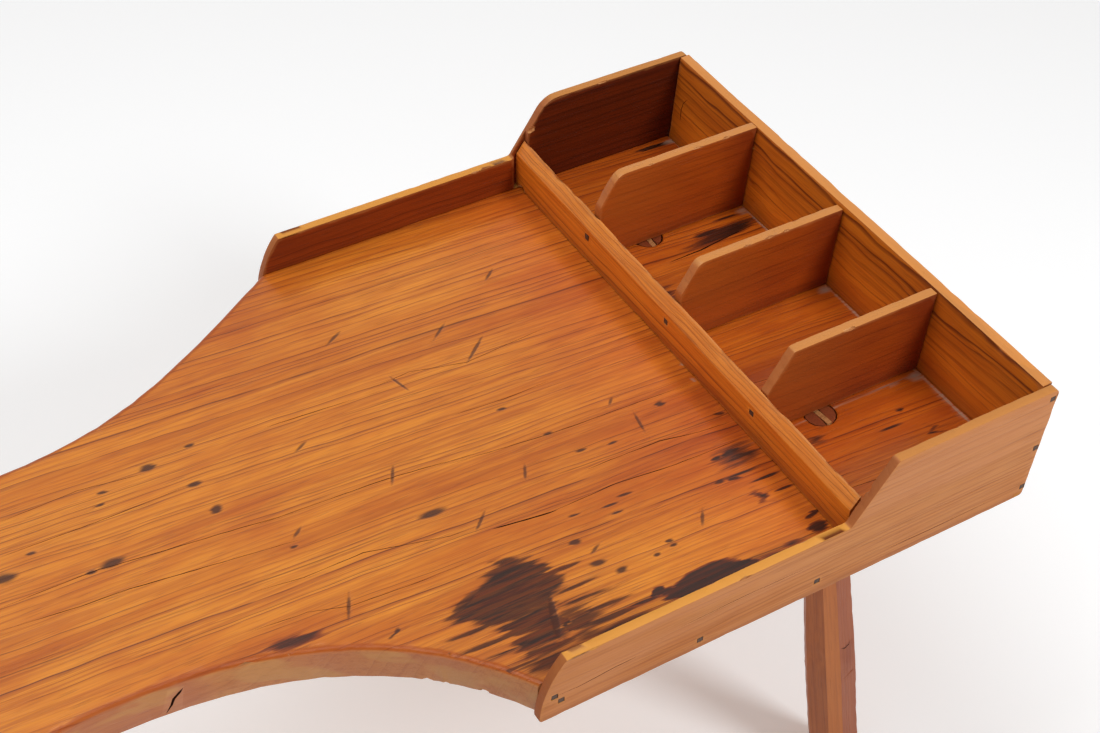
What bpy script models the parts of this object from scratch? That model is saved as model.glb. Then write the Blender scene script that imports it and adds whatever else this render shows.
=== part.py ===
"""A cobbler's bench: a waisted plank on four splayed, wedged legs, with a tray of four compartments.

Metres, +Z up. +X runs from the seat to the tray, and +Y to the left of someone who sits astride the seat.
The origin is on the floor, under the middle of the bench.
"""

import math

import bmesh
import bpy
import numpy as np
from mathutils import Vector
from mathutils.geometry import interpolate_bezier

# The whole bench.
LENGTH = 1.094  # seat tip to the outer top edge of the tray end, on the right
WORK_WIDTH = 0.500  # between the inner faces of the side boards
WORK_HEIGHT = 0.430  # floor to the top of the plank
GAP = 0.0003  # left between wooden pieces that touch
OVERRUN = 0.004  # how far a cutting shape passes the face it opens

# The plank.
PLANK_THICKNESS = 0.032
PLANK_TOP_ROUND = 0.004
PLANK_BOTTOM_ROUND = 0.0015
SEAT_WIDTH = 0.340
SEAT_BACK_LENGTH = 0.196  # widest part of the seat to its tip
SEAT_ROUND_SHARE = 0.5523  # handle of a quarter ellipse
NECK_HANDLE_SHARE = 0.45  # handles of the curve between waist and seat
DISH_LENGTH = 0.270
DISH_WIDTH = 0.262
DISH_DEPTH = 0.007
DISH_TIP_DISTANCE = 0.182  # seat tip to the middle of the dish

# The two waist curves, each from the plank's shoulder to its narrowest place.
RIGHT_SHOULDER_INSET = 0.0036  # shoulder behind the foot of the side board
LEFT_SHOULDER_INSET = 0.0
RIGHT_WAIST_REACH = 0.269
RIGHT_WAIST_DEPTH = 0.129
RIGHT_SHOULDER_HANDLE = 0.0865
RIGHT_WAIST_HANDLE = 0.1415
RIGHT_SHOULDER_ANGLE = math.radians(58)
LEFT_WAIST_REACH = 0.2965
LEFT_WAIST_DEPTH = 0.118
LEFT_SHOULDER_HANDLE = 0.1495
LEFT_WAIST_HANDLE = 0.1195
LEFT_SHOULDER_ANGLE = math.radians(34)

# The side boards, cut to one pattern. The left one is nailed on a little higher.
SIDE_THICKNESS = 0.0085
RIGHT_SIDE_LENGTH = 0.4565  # foot to the tray's outermost edge
LEFT_SIDE_LENGTH = 0.4445
FENCE_HEIGHT = 0.059
WALL_HEIGHT = 0.112
WALL_LENGTH = 0.1545  # the tray's outermost edge to the head of the step
STEP_RUN = 0.036
SIDE_DROP = 0.033  # right board's lower edge below the plank's top
LEFT_SIDE_LIFT = 0.0075
FRONT_CURVE_RUN = 0.0215
STEP_FOOT_ROUND = 0.004
RIGHT_STEP_HEAD_ROUND = 0.005
LEFT_STEP_HEAD_ROUND = 0.022
SIDE_CORNER_ROUND = 0.004
SIDE_FOOT_ROUND = 0.003
SIDE_END_CANT = math.radians(5.8)
EDGE_EASE = 0.0008

# The tray.
END_CANT = math.radians(4.8)
END_SKEW = 0.003  # how far the end board stands in at the left, from square
END_THICKNESS = 0.010
RAIL_SETBACK = 0.185  # the tray's outermost edge to the rail's front face
RAIL_THICKNESS = 0.010
RAIL_RIGHT_HEIGHT = 0.043
RAIL_LEFT_HEIGHT = 0.047
RAIL_BEVEL_RISE = 0.011
RAIL_TOP_FLAT = 0.002
RAIL_BACK_ROUND = 0.0005
RAIL_ROUND = 0.0015
RAIL_END_GAP = 0.0018  # daylight between the rail and the right side board
RAIL_HOUSING = 0.005  # how deep the rail's other end is let into the left side board
RAIL_HOUSING_PLAY = 0.004  # the notch is cut wider than the rail, in front of it
PARTITION_THICKNESS = 0.0092
PARTITION_CHAMFER = math.radians(58.5)  # slope of the sawn front corner
PARTITION_CORNER_ROUND = 0.001

# Each partition's place, height and front corner, from the right side to the left.
RIGHT_PARTITION_PLACE = 0.124  # right side board to the partition's right face
MIDDLE_PARTITION_OFFSET = 0.0025  # bench's middle to the partition's middle
LEFT_PARTITION_PLACE = 0.116  # left side board to the partition's left face
RIGHT_PARTITION_HEIGHT = 0.0800
RIGHT_PARTITION_RISE = 0.0365
RIGHT_PARTITION_ROUND = 0.003
MIDDLE_PARTITION_HEIGHT = 0.0805
MIDDLE_PARTITION_RISE = 0.0285
MIDDLE_PARTITION_ROUND = 0.010
LEFT_PARTITION_HEIGHT = 0.0855
LEFT_PARTITION_RISE = 0.0300
LEFT_PARTITION_ROUND = 0.014

# The legs. Each leans forward or backward and outward, by these angles from upright.
LEG_DIAMETER = 0.0475  # across the corners of the octagon, where it is thickest
LEG_WAY_SHARES = (0, 0.33, 0.66, 1)  # of the way down from the plank
LEG_THICKNESS_SHARES = (0.70, 0.878, 1, 0.985)  # thickness at those places
LEG_RINGS = 9
LEG_TURN = math.radians(62)
LEG_NARROW_FACET = math.radians(34)  # every other facet, seen from the axis
TENON_DIAMETER = 0.0265
TENON_CLEARANCE = 0.0004
TRAY_LEG_INSET = 0.120  # the tray's outermost edge to the tenon
TRAY_LEG_EDGE_INSET = 0.1205  # inner face of the side board to the tenon
TRAY_LEG_FORWARD_LEAN = math.radians(4.6)
TRAY_LEG_OUTWARD_LEAN = math.radians(7.7)
SEAT_LEG_INSET = 0.118  # seat tip to the tenon
SEAT_LEG_EDGE_INSET = 0.095  # widest edge of the seat to the tenon
SEAT_LEG_BACKWARD_LEAN = math.radians(5.7)
SEAT_LEG_OUTWARD_LEAN = math.radians(9.1)

# The wedges, driven into a sawn slot across the grain of the plank.
WEDGE_TOP_THICKNESS = 0.0042
WEDGE_TIP_THICKNESS = 0.0014
WEDGE_DEPTH = 0.024
WEDGE_CLEARANCE = 0.0003
WEDGE_END_CLEARANCE = 0.0006  # between each end of the wedge and the mortise
WEDGE_SET = 0.0006  # top of the wedge below the plank's top

# The cut nails.
NAIL_LENGTH = 0.030
NAIL_HEAD_WIDTH = 0.0044
NAIL_HEAD_THICKNESS = 0.0010
NAIL_SHANK_WIDTH = 0.0024
NAIL_SHANK_THICKNESS = 0.0020
NAIL_TIP_SHARE = 0.5
NAIL_CLEARANCE = 0.0003
NAIL_SET = 0.0003  # head below the surface of the wood

# Where the nails are: distance from the tray's outermost edge, and below or above the plank's top.
RIGHT_BOARD_NAILS = ((0.4440, -0.0100), (0.4385, -0.0170), (0.3205, -0.0235), (0.2155, -0.0190))
LEFT_BOARD_NAILS = ((0.4320, -0.0120), (0.3220, -0.0150), (0.2160, -0.0130))
SIDE_END_NAIL_LEVELS = (0.0710, 0.0200, -0.0220)
RAIL_NAIL_LEVEL = 0.0255
END_PLANK_NAIL_LEVEL = -0.016
END_PLANK_NAIL_SHARES = (-0.38, -0.126, 0.126, 0.38)  # of the work width, from the middle
END_PARTITION_NAIL_LEVELS = (0.022, 0.060)

# How finely round forms are divided, and which edges count as sharp.
CURVE_STEPS = 14
CORNER_STEPS = 4
RIM_SEGMENTS = 3
EASE_SEGMENTS = 2
ROUND_SIDES = 16
LEG_FACETS = 8
DISH_SIDES = 36
DISH_RINGS = 6
SMOOTH_ANGLE = math.radians(28)
EASE_ANGLE = math.radians(40)

# Colour, roughness and metallic value of each material.
PINE = ((0.56, 0.23, 0.055), 0.28, 0.0)
SIDE_PINE = ((0.47, 0.20, 0.075), 0.38, 0.0)
TRAY_PINE = ((0.42, 0.15, 0.040), 0.40, 0.0)
LEG_WOOD = ((0.33, 0.11, 0.045), 0.42, 0.0)
WEDGE_WOOD = ((0.62, 0.36, 0.16), 0.50, 0.0)
IRON = ((0.055, 0.045, 0.040), 0.55, 0.8)

# Places worked out from the sizes above.
TRAY_END_X = LENGTH / 2
SEAT_TIP_X = -LENGTH / 2
HALF_WORK = WORK_WIDTH / 2
PLANK_UNDERSIDE = WORK_HEIGHT - PLANK_THICKNESS
RIGHT_BOARD_BOTTOM = WORK_HEIGHT - SIDE_DROP
LEFT_BOARD_BOTTOM = RIGHT_BOARD_BOTTOM + LEFT_SIDE_LIFT
RIGHT_WALL_TOP = RIGHT_BOARD_BOTTOM + WALL_HEIGHT
LEFT_WALL_TOP = LEFT_BOARD_BOTTOM + WALL_HEIGHT
END_SKEW_SLOPE = END_SKEW / WORK_WIDTH
STEP_HEAD_X = TRAY_END_X - WALL_LENGTH
RAIL_FRONT_X = TRAY_END_X - RAIL_SETBACK
RAIL_BACK_X = RAIL_FRONT_X + RAIL_THICKNESS


def clear_scene():
    for item in list(bpy.data.objects):
        bpy.data.objects.remove(item, do_unlink=True)


def wood(name, look):
    """A plain Principled material."""
    colour, roughness, metallic = look
    material = bpy.data.materials.new(name)
    material.use_nodes = True
    shader = material.node_tree.nodes["Principled BSDF"]
    shader.inputs["Base Color"].default_value = (*colour, 1)
    shader.inputs["Roughness"].default_value = roughness
    shader.inputs["Metallic"].default_value = metallic
    return material


def add_object(name, bm, material=None, parent=None):
    """An object made from a bmesh, whose faces are turned outwards and shaded smooth where they are round."""
    bmesh.ops.recalc_face_normals(bm, faces=bm.faces)
    mesh = bpy.data.meshes.new(name)
    bm.to_mesh(mesh)
    bm.free()
    mesh.shade_smooth()
    mesh.set_sharp_from_angle(angle=SMOOTH_ANGLE)
    item = bpy.data.objects.new(name, mesh)
    bpy.context.scene.collection.objects.link(item)
    if material:
        mesh.materials.append(material)
    item.parent = parent
    return item


def add_cutter(name, bm, parent=None):
    """An object that only shapes another one."""
    item = add_object(name, bm, parent=parent)
    item.hide_render = True
    item.display_type = "WIRE"
    return item


def cut(item, cutter):
    modifier = item.modifiers.new(f"cut by {cutter.name}", "BOOLEAN")
    modifier.operation = "DIFFERENCE"
    modifier.solver = "EXACT"
    modifier.object = cutter


def ease_edges(item):
    """Takes the sharpness off a sawn board's edges."""
    modifier = item.modifiers.new("eased edges", "BEVEL")
    modifier.width = EDGE_EASE
    modifier.segments = EASE_SEGMENTS
    modifier.limit_method = "ANGLE"
    modifier.angle_limit = EASE_ANGLE


def prism(outline, thickness):
    """A flat outline drawn out along a vector."""
    bm = bmesh.new()
    face = bm.faces.new([bm.verts.new(point) for point in outline])
    drawn = bmesh.ops.extrude_face_region(bm, geom=[face])
    moved = [part for part in drawn["geom"] if isinstance(part, bmesh.types.BMVert)]
    bmesh.ops.translate(bm, verts=moved, vec=thickness)
    return bm


def loft(sections, bm=None):
    """A closed solid through loops of points. Each loop has as many points as the next."""
    bm = bm or bmesh.new()
    rims = [[bm.verts.new(point) for point in points] for points in sections]
    for rim, following in zip(rims, rims[1:]):
        for index in range(len(rim)):
            bm.faces.new((rim[index - 1], rim[index], following[index], following[index - 1]))
    bm.faces.new(rims[0])
    bm.faces.new(rims[-1])
    return bm


def rounded(corners):
    """An outline whose corners, given as (point, radius), are rounded by arcs."""
    outline = []
    for index, (corner, radius) in enumerate(corners):
        before = (corners[index - 1][0] - corner).normalized()
        after = (corners[(index + 1) % len(corners)][0] - corner).normalized()
        if radius == 0:
            outline.append(corner)
            continue
        half_angle = before.angle(after) / 2
        tangent = radius / math.tan(half_angle)
        centre = corner + (before + after).normalized() * radius / math.sin(half_angle)
        start = corner + before * tangent - centre
        end = corner + after * tangent - centre
        for step in range(CORNER_STEPS + 1):
            direction = start.lerp(end, step / CORNER_STEPS).normalized()
            outline.append(centre + direction * radius)
    return outline


def end_x(y, height, inset=0):
    """X of the canted and slightly skewed end board at a place, so far in from its outer face."""
    below_top = RIGHT_WALL_TOP - height
    outer = TRAY_END_X - below_top * math.tan(END_CANT) - (y + HALF_WORK) * END_SKEW_SLOPE
    return outer - inset / math.cos(END_CANT)


def curve_points(start, start_handle, end_handle, end):
    """Points along a cubic curve, without its last one."""
    points = interpolate_bezier(start, start_handle, end_handle, end, CURVE_STEPS + 1)
    return [Vector((point.x, point.y, WORK_HEIGHT)) for point in points[:-1]]


def waist_side(side, shoulder_distance, reach, depth, shoulder_handle, waist_handle, angle):
    """One long edge of the plank, from the shoulder at the side board to the seat's tip.

    side is -1 for the right edge and 1 for the left one.
    """
    edge = HALF_WORK - GAP
    shoulder = Vector((TRAY_END_X - shoulder_distance, side * edge))
    waist = Vector((shoulder.x - reach, side * (edge - depth)))
    widest = Vector((SEAT_TIP_X + SEAT_BACK_LENGTH, side * SEAT_WIDTH / 2))
    tip = Vector((SEAT_TIP_X, 0))
    lean = Vector((-math.cos(angle), -side * math.sin(angle)))
    along = Vector((1, 0))
    across = Vector((0, side))
    neck_handle = (waist.x - widest.x) * NECK_HANDLE_SHARE
    scoop = curve_points(shoulder, shoulder + lean * shoulder_handle, waist + along * waist_handle, waist)
    neck = curve_points(waist, waist - along * neck_handle, widest + along * neck_handle, widest)
    seat_end = curve_points(
        widest,
        widest - along * SEAT_BACK_LENGTH * SEAT_ROUND_SHARE,
        tip + across * SEAT_WIDTH / 2 * SEAT_ROUND_SHARE,
        tip,
    )
    return scoop + neck + seat_end


def plank_outline():
    """The plank seen from above, anticlockwise from its right-hand tray corner."""
    right = waist_side(
        -1,
        RIGHT_SIDE_LENGTH - RIGHT_SHOULDER_INSET,
        RIGHT_WAIST_REACH,
        RIGHT_WAIST_DEPTH,
        RIGHT_SHOULDER_HANDLE,
        RIGHT_WAIST_HANDLE,
        RIGHT_SHOULDER_ANGLE,
    )
    left = waist_side(
        1,
        LEFT_SIDE_LENGTH - LEFT_SHOULDER_INSET,
        LEFT_WAIST_REACH,
        LEFT_WAIST_DEPTH,
        LEFT_SHOULDER_HANDLE,
        LEFT_WAIST_HANDLE,
        LEFT_SHOULDER_ANGLE,
    )
    tip = Vector((SEAT_TIP_X, 0, WORK_HEIGHT))
    tray_corner = Vector((TRAY_END_X, HALF_WORK - GAP, WORK_HEIGHT))
    other_corner = tray_corner * Vector((1, -1, 1))
    return [other_corner] + right + [tip] + left[::-1] + [tray_corner]


def plank(material, parent):
    """The waisted plank, its end sawn to the cant of the end board."""
    bm = prism(plank_outline(), Vector((0, 0, -PLANK_THICKNESS)))
    saw = Vector((end_x(0, WORK_HEIGHT, END_THICKNESS + GAP), 0, WORK_HEIGHT))
    facing = Vector((1, END_SKEW_SLOPE, -math.tan(END_CANT)))
    everything = list(bm.verts) + list(bm.edges) + list(bm.faces)
    sawn = bmesh.ops.bisect_plane(bm, geom=everything, plane_co=saw, plane_no=facing, clear_outer=True)
    rim = [part for part in sawn["geom_cut"] if isinstance(part, bmesh.types.BMEdge)]
    bmesh.ops.edgeloop_fill(bm, edges=rim)
    round_rim(bm, WORK_HEIGHT, PLANK_TOP_ROUND)
    round_rim(bm, PLANK_UNDERSIDE, PLANK_BOTTOM_ROUND)
    return add_object("plank", bm, material, parent)


def round_rim(bm, height, radius):
    """Rounds the arris at one height where the plank is bare: round its waist and its seat."""
    sides = HALF_WORK - GAP
    chosen = []
    for edge in bm.edges:
        ends = [vert.co for vert in edge.verts]
        level = all(abs(end.z - height) < GAP for end in ends)
        along_side = all(abs(abs(end.y) - sides) < GAP for end in ends)
        along_tray = all(end.x > RAIL_FRONT_X for end in ends)
        if level and not along_side and not along_tray:
            chosen.append(edge)
    bmesh.ops.bevel(
        bm, geom=chosen, offset=radius, segments=RIM_SEGMENTS, profile=0.5, affect="EDGES", material=-1
    )


def dish():
    """The shallow bowl that is scooped out of the seat."""
    middle = Vector((SEAT_TIP_X + DISH_TIP_DISTANCE, 0, WORK_HEIGHT))
    turns = [math.tau * side / DISH_SIDES for side in range(DISH_SIDES)]
    sections = []
    for ring in range(1, DISH_RINGS + 2):
        share = ring / DISH_RINGS
        half_length = DISH_LENGTH / 2 * share
        half_width = DISH_WIDTH / 2 * share
        drop = DISH_DEPTH * (share * share - 1)
        ellipse = [Vector((half_length * math.cos(turn), half_width * math.sin(turn), drop)) for turn in turns]
        sections.append([middle + point for point in ellipse])
    return loft(sections)


def side_board(name, side, length, bottom, head_round, material, parent):
    """A side board: fence, slanted step and tray wall in one board, its front end cut to a curve."""
    front = TRAY_END_X - length
    fence_top = bottom + FENCE_HEIGHT
    wall_top = bottom + WALL_HEIGHT
    radius = (FENCE_HEIGHT**2 + FRONT_CURVE_RUN**2) / (2 * FRONT_CURVE_RUN)
    sweep = math.asin(FENCE_HEIGHT / radius)
    corners = []
    for step in range(CURVE_STEPS + 1):
        turn = sweep * step / CURVE_STEPS
        x = front + radius * (1 - math.cos(turn))
        corner_round = 0 if step else SIDE_FOOT_ROUND
        corners.append((Vector((x, 0, bottom + radius * math.sin(turn))), corner_round))
    end_top = end_x(side * HALF_WORK, wall_top)
    end_bottom = end_top - WALL_HEIGHT * math.tan(SIDE_END_CANT)
    corners += [
        (Vector((STEP_HEAD_X - STEP_RUN, 0, fence_top)), STEP_FOOT_ROUND),
        (Vector((STEP_HEAD_X, 0, wall_top)), head_round),
        (Vector((end_top, 0, wall_top)), SIDE_CORNER_ROUND),
        (Vector((end_bottom, 0, bottom)), SIDE_CORNER_ROUND),
    ]
    bm = prism(rounded(corners), Vector((0, side * SIDE_THICKNESS, 0)))
    bmesh.ops.translate(bm, verts=bm.verts, vec=(0, side * HALF_WORK, 0))
    board = add_object(name, bm, material, parent)
    ease_edges(board)
    return board


def end_board(material, parent):
    """The canted end board, whose top falls from the left wall to the right one."""
    reach = HALF_WORK - GAP
    bottom = RIGHT_BOARD_BOTTOM
    sections = []
    for y, top in ((-reach, RIGHT_WALL_TOP), (reach, LEFT_WALL_TOP)):
        corners = ((bottom, 0), (bottom, END_THICKNESS), (top, END_THICKNESS), (top, 0))
        sections.append([(end_x(y, height, inset), y, height) for height, inset in corners])
    board = add_object("tray_end_board", loft(sections), material, parent)
    ease_edges(board)
    return board


def front_rail(material, parent):
    """The low strip in front of the tray. Its top is bevelled towards the work area."""
    bottom = WORK_HEIGHT + GAP
    right_end = -HALF_WORK + RAIL_END_GAP
    left_end = HALF_WORK + RAIL_HOUSING - GAP
    sections = []
    for y, height in ((right_end, RAIL_RIGHT_HEIGHT), (left_end, RAIL_LEFT_HEIGHT)):
        top = WORK_HEIGHT + height
        corners = [
            (Vector((RAIL_FRONT_X, y, bottom)), 0),
            (Vector((RAIL_FRONT_X, y, top - RAIL_BEVEL_RISE)), RAIL_ROUND),
            (Vector((RAIL_BACK_X - RAIL_TOP_FLAT, y, top)), RAIL_ROUND),
            (Vector((RAIL_BACK_X, y, top)), RAIL_BACK_ROUND),
            (Vector((RAIL_BACK_X, y, bottom)), 0),
        ]
        sections.append(rounded(corners))
    return add_object("tray_front_rail", loft(sections), material, parent)


def rail_housing(parent):
    """The open notch in the left side board that the end of the rail sits in."""
    front = RAIL_FRONT_X - RAIL_HOUSING_PLAY
    back = RAIL_BACK_X + GAP
    mouth = HALF_WORK - OVERRUN
    wall = HALF_WORK + RAIL_HOUSING
    outline = ((front, mouth), (back, mouth), (back, wall), (front, wall))
    corners = [(x, y, WORK_HEIGHT) for x, y in outline]
    return add_cutter("rail_housing", prism(corners, Vector((0, 0, WALL_HEIGHT))), parent)


def partition(name, y, height, rise, corner_round, material, parent):
    """A tray partition whose right face is at y, on the plank between the rail and the end board."""
    bottom = WORK_HEIGHT + GAP
    top = WORK_HEIGHT + height
    front = RAIL_BACK_X + GAP
    run = rise / math.tan(PARTITION_CHAMFER)
    back_inset = END_THICKNESS + GAP
    corners = [
        (Vector((front, 0, bottom)), 0),
        (Vector((front, 0, top - rise)), corner_round),
        (Vector((front + run, 0, top)), corner_round),
        (Vector((end_x(y + PARTITION_THICKNESS, top, back_inset), 0, top)), PARTITION_CORNER_ROUND),
        (Vector((end_x(y + PARTITION_THICKNESS, bottom, back_inset), 0, bottom)), 0),
    ]
    bm = prism(rounded(corners), Vector((0, PARTITION_THICKNESS, 0)))
    bmesh.ops.translate(bm, verts=bm.verts, vec=(0, y, 0))
    board = add_object(name, bm, material, parent)
    ease_edges(board)
    return board


def leg_mount(name, x, y, lean_x, lean_y, parent):
    """An empty on the plank's top, turned so that its -Z runs down a leg that leans towards +X and +Y."""
    mount = bpy.data.objects.new(name, None)
    bpy.context.scene.collection.objects.link(mount)
    mount.location = (x, y, WORK_HEIGHT)
    mount.rotation_mode = "QUATERNION"
    down = Vector((math.tan(lean_x), math.tan(lean_y), -1))
    mount.rotation_quaternion = Vector((0, 0, -1)).rotation_difference(down)
    mount.parent = parent
    return mount


def circle(radius):
    """Points round a leg's axis at equal steps."""
    turns = [LEG_TURN + math.tau * side / ROUND_SIDES for side in range(ROUND_SIDES)]
    return [Vector((radius * math.cos(turn), radius * math.sin(turn), 0)) for turn in turns]


def octagon(radius):
    """The corners of a hand-shaved octagon with wide and narrow facets, and the middles of its sides."""
    corners = []
    for facet in range(LEG_FACETS // 2):
        middle = LEG_TURN + facet * 2 * math.tau / LEG_FACETS
        for turn in (middle - LEG_NARROW_FACET / 2, middle + LEG_NARROW_FACET / 2):
            corners.append(Vector((radius * math.cos(turn), radius * math.sin(turn), 0)))
    points = []
    for corner, following in zip(corners, corners[1:] + corners[:1]):
        points += [corner, (corner + following) / 2]
    return points


def sunk(points, depth):
    """The points moved down a leg's axis."""
    return [point - Vector((0, 0, depth)) for point in points]


def at_level(points, mount, height):
    """The points slid along a leg's axis into the level plane at a height."""
    turn = mount.rotation_quaternion.to_matrix()
    placed = []
    for point in points:
        rise = height - mount.location.z - (turn @ point).z
        placed.append(point + Vector((0, 0, rise / turn[2][2])))
    return placed


def leg_radius(share):
    """Radius of the octagon at a share of the way from the plank to the floor."""
    return LEG_DIAMETER / 2 * float(np.interp(share, LEG_WAY_SHARES, LEG_THICKNESS_SHARES))


def leg(name, mount, material):
    """A shaved octagonal leg, thicker towards the floor, with a round tenon up through the plank."""
    lean = mount.rotation_quaternion.to_matrix()[2][2]
    underside = PLANK_UNDERSIDE - GAP
    top_depth = PLANK_THICKNESS / lean
    foot_depth = WORK_HEIGHT / lean
    tenon = circle(TENON_DIAMETER / 2)
    sections = [
        at_level(tenon, mount, WORK_HEIGHT - GAP),
        at_level(tenon, mount, underside),
        at_level(octagon(leg_radius(0)), mount, underside),
    ]
    for step in range(1, LEG_RINGS):
        share = step / LEG_RINGS
        sections.append(sunk(octagon(leg_radius(share)), top_depth + (foot_depth - top_depth) * share))
    sections.append(at_level(octagon(leg_radius(1)), mount, 0))
    stick = add_object(name, loft(sections), material, mount)
    slot = wedge_solid(WEDGE_CLEARANCE, OVERRUN, TENON_DIAMETER + OVERRUN)
    cut(stick, add_cutter(f"{name}_slot", slot, mount))
    return stick


def wedge_solid(clearance, rise, width):
    """The tapered body of a wedge, or the slot for it, wide end up, its length across the plank."""
    slope = (WEDGE_TOP_THICKNESS - WEDGE_TIP_THICKNESS) / WEDGE_DEPTH
    sections = []
    for depth in (-rise, WEDGE_DEPTH + clearance):
        half = (WEDGE_TOP_THICKNESS - slope * depth) / 2 + clearance
        corners = ((-half, -1), (half, -1), (half, 1), (-half, 1))
        sections.append([Vector((x, end * width / 2, -depth)) for x, end in corners])
    return loft(sections)


def wedge(name, mount, material):
    solid = wedge_solid(0, -WEDGE_SET, TENON_DIAMETER - 2 * WEDGE_END_CLEARANCE)
    return add_object(name, solid, material, mount)


def mortise(name, mount):
    """The round hole that a leg's tenon goes up through."""
    hole = circle(TENON_DIAMETER / 2 + TENON_CLEARANCE)
    top = at_level(hole, mount, WORK_HEIGHT + OVERRUN)
    bottom = at_level(hole, mount, PLANK_UNDERSIDE - OVERRUN)
    return add_cutter(name, loft([top, bottom]), mount)


def nail_solid(bm, place, clearance, mouth):
    """Adds a cut nail, or the hole for it, to a bmesh: its head at the place, driven along the place's -Z."""
    head = NAIL_HEAD_WIDTH / 2 + clearance
    neck = -NAIL_SET - NAIL_HEAD_THICKNESS - clearance
    tip = -NAIL_LENGTH - clearance
    shank = Vector((NAIL_SHANK_WIDTH, NAIL_SHANK_THICKNESS)) / 2
    wide = shank + Vector((clearance, clearance))
    fine = shank * NAIL_TIP_SHARE + Vector((clearance, clearance))
    levels = (
        (mouth, head, head),
        (neck, head, head),
        (neck, wide.x, wide.y),
        (tip, fine.x, fine.y),
    )
    corners = ((-1, -1), (1, -1), (1, 1), (-1, 1))
    sections = []
    for level, half_x, half_y in levels:
        sections.append([place @ Vector((x * half_x, y * half_y, level)) for x, y in corners])
    return loft(sections, bm)


def driven(point, direction):
    """The placing of a nail whose head is at a point and which is driven in a direction."""
    turn = Vector((0, 0, -1)).rotation_difference(Vector(direction))
    place = turn.to_matrix().to_4x4()
    place.translation = point
    return place


def nail_places():
    """Every nail: its name, its placing, and the two pieces that it joins."""
    nails = []
    outside = HALF_WORK + SIDE_THICKNESS
    for end, side, plank_nails in (("right", -1, RIGHT_BOARD_NAILS), ("left", 1, LEFT_BOARD_NAILS)):
        inward = (0, -side, 0)
        board = f"{end}_side_board"
        for number, (inset, level) in enumerate(plank_nails, 1):
            point = (TRAY_END_X - inset, side * outside, WORK_HEIGHT + level)
            nails.append((f"nail_{end}_board_{number}", driven(point, inward), (board, "plank")))
        for number, level in enumerate(SIDE_END_NAIL_LEVELS, 1):
            height = WORK_HEIGHT + level
            point = (end_x(side * HALF_WORK, height, END_THICKNESS / 2), side * outside, height)
            nails.append((f"nail_{end}_corner_{number}", driven(point, inward), (board, "tray_end_board")))
    backward = (-math.cos(END_CANT), 0, math.sin(END_CANT))
    for number, share in enumerate(END_PLANK_NAIL_SHARES, 1):
        y = WORK_WIDTH * share
        height = WORK_HEIGHT + END_PLANK_NAIL_LEVEL
        point = (end_x(y, height), y, height)
        nails.append((f"nail_end_board_{number}", driven(point, backward), ("tray_end_board", "plank")))
    for board, face in partition_places():
        y = face + PARTITION_THICKNESS / 2
        point = (RAIL_FRONT_X, y, WORK_HEIGHT + RAIL_NAIL_LEVEL)
        nails.append((f"nail_rail_{board}", driven(point, (1, 0, 0)), ("tray_front_rail", board)))
        for number, level in enumerate(END_PARTITION_NAIL_LEVELS, 1):
            height = WORK_HEIGHT + level
            point = (end_x(y, height), y, height)
            nails.append((f"nail_{board}_{number}", driven(point, backward), ("tray_end_board", board)))
    return nails


def partition_places():
    """Each partition's name and the Y of its right face."""
    return (
        ("partition_right", -HALF_WORK + RIGHT_PARTITION_PLACE),
        ("partition_middle", MIDDLE_PARTITION_OFFSET - PARTITION_THICKNESS / 2),
        ("partition_left", HALF_WORK - LEFT_PARTITION_PLACE - PARTITION_THICKNESS),
    )


def drive_nails(pieces, material, parent):
    """Makes the nails, and cuts each piece once for all the nails that go into it."""
    holes = {}
    for name, place, joined in nail_places():
        add_object(name, nail_solid(bmesh.new(), place, 0, -NAIL_SET), material, parent)
        for piece in joined:
            holes.setdefault(piece, bmesh.new())
            nail_solid(holes[piece], place, NAIL_CLEARANCE, OVERRUN)
    for piece, bm in holes.items():
        cut(pieces[piece], add_cutter(f"{piece}_nail_holes", bm, parent))


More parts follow.
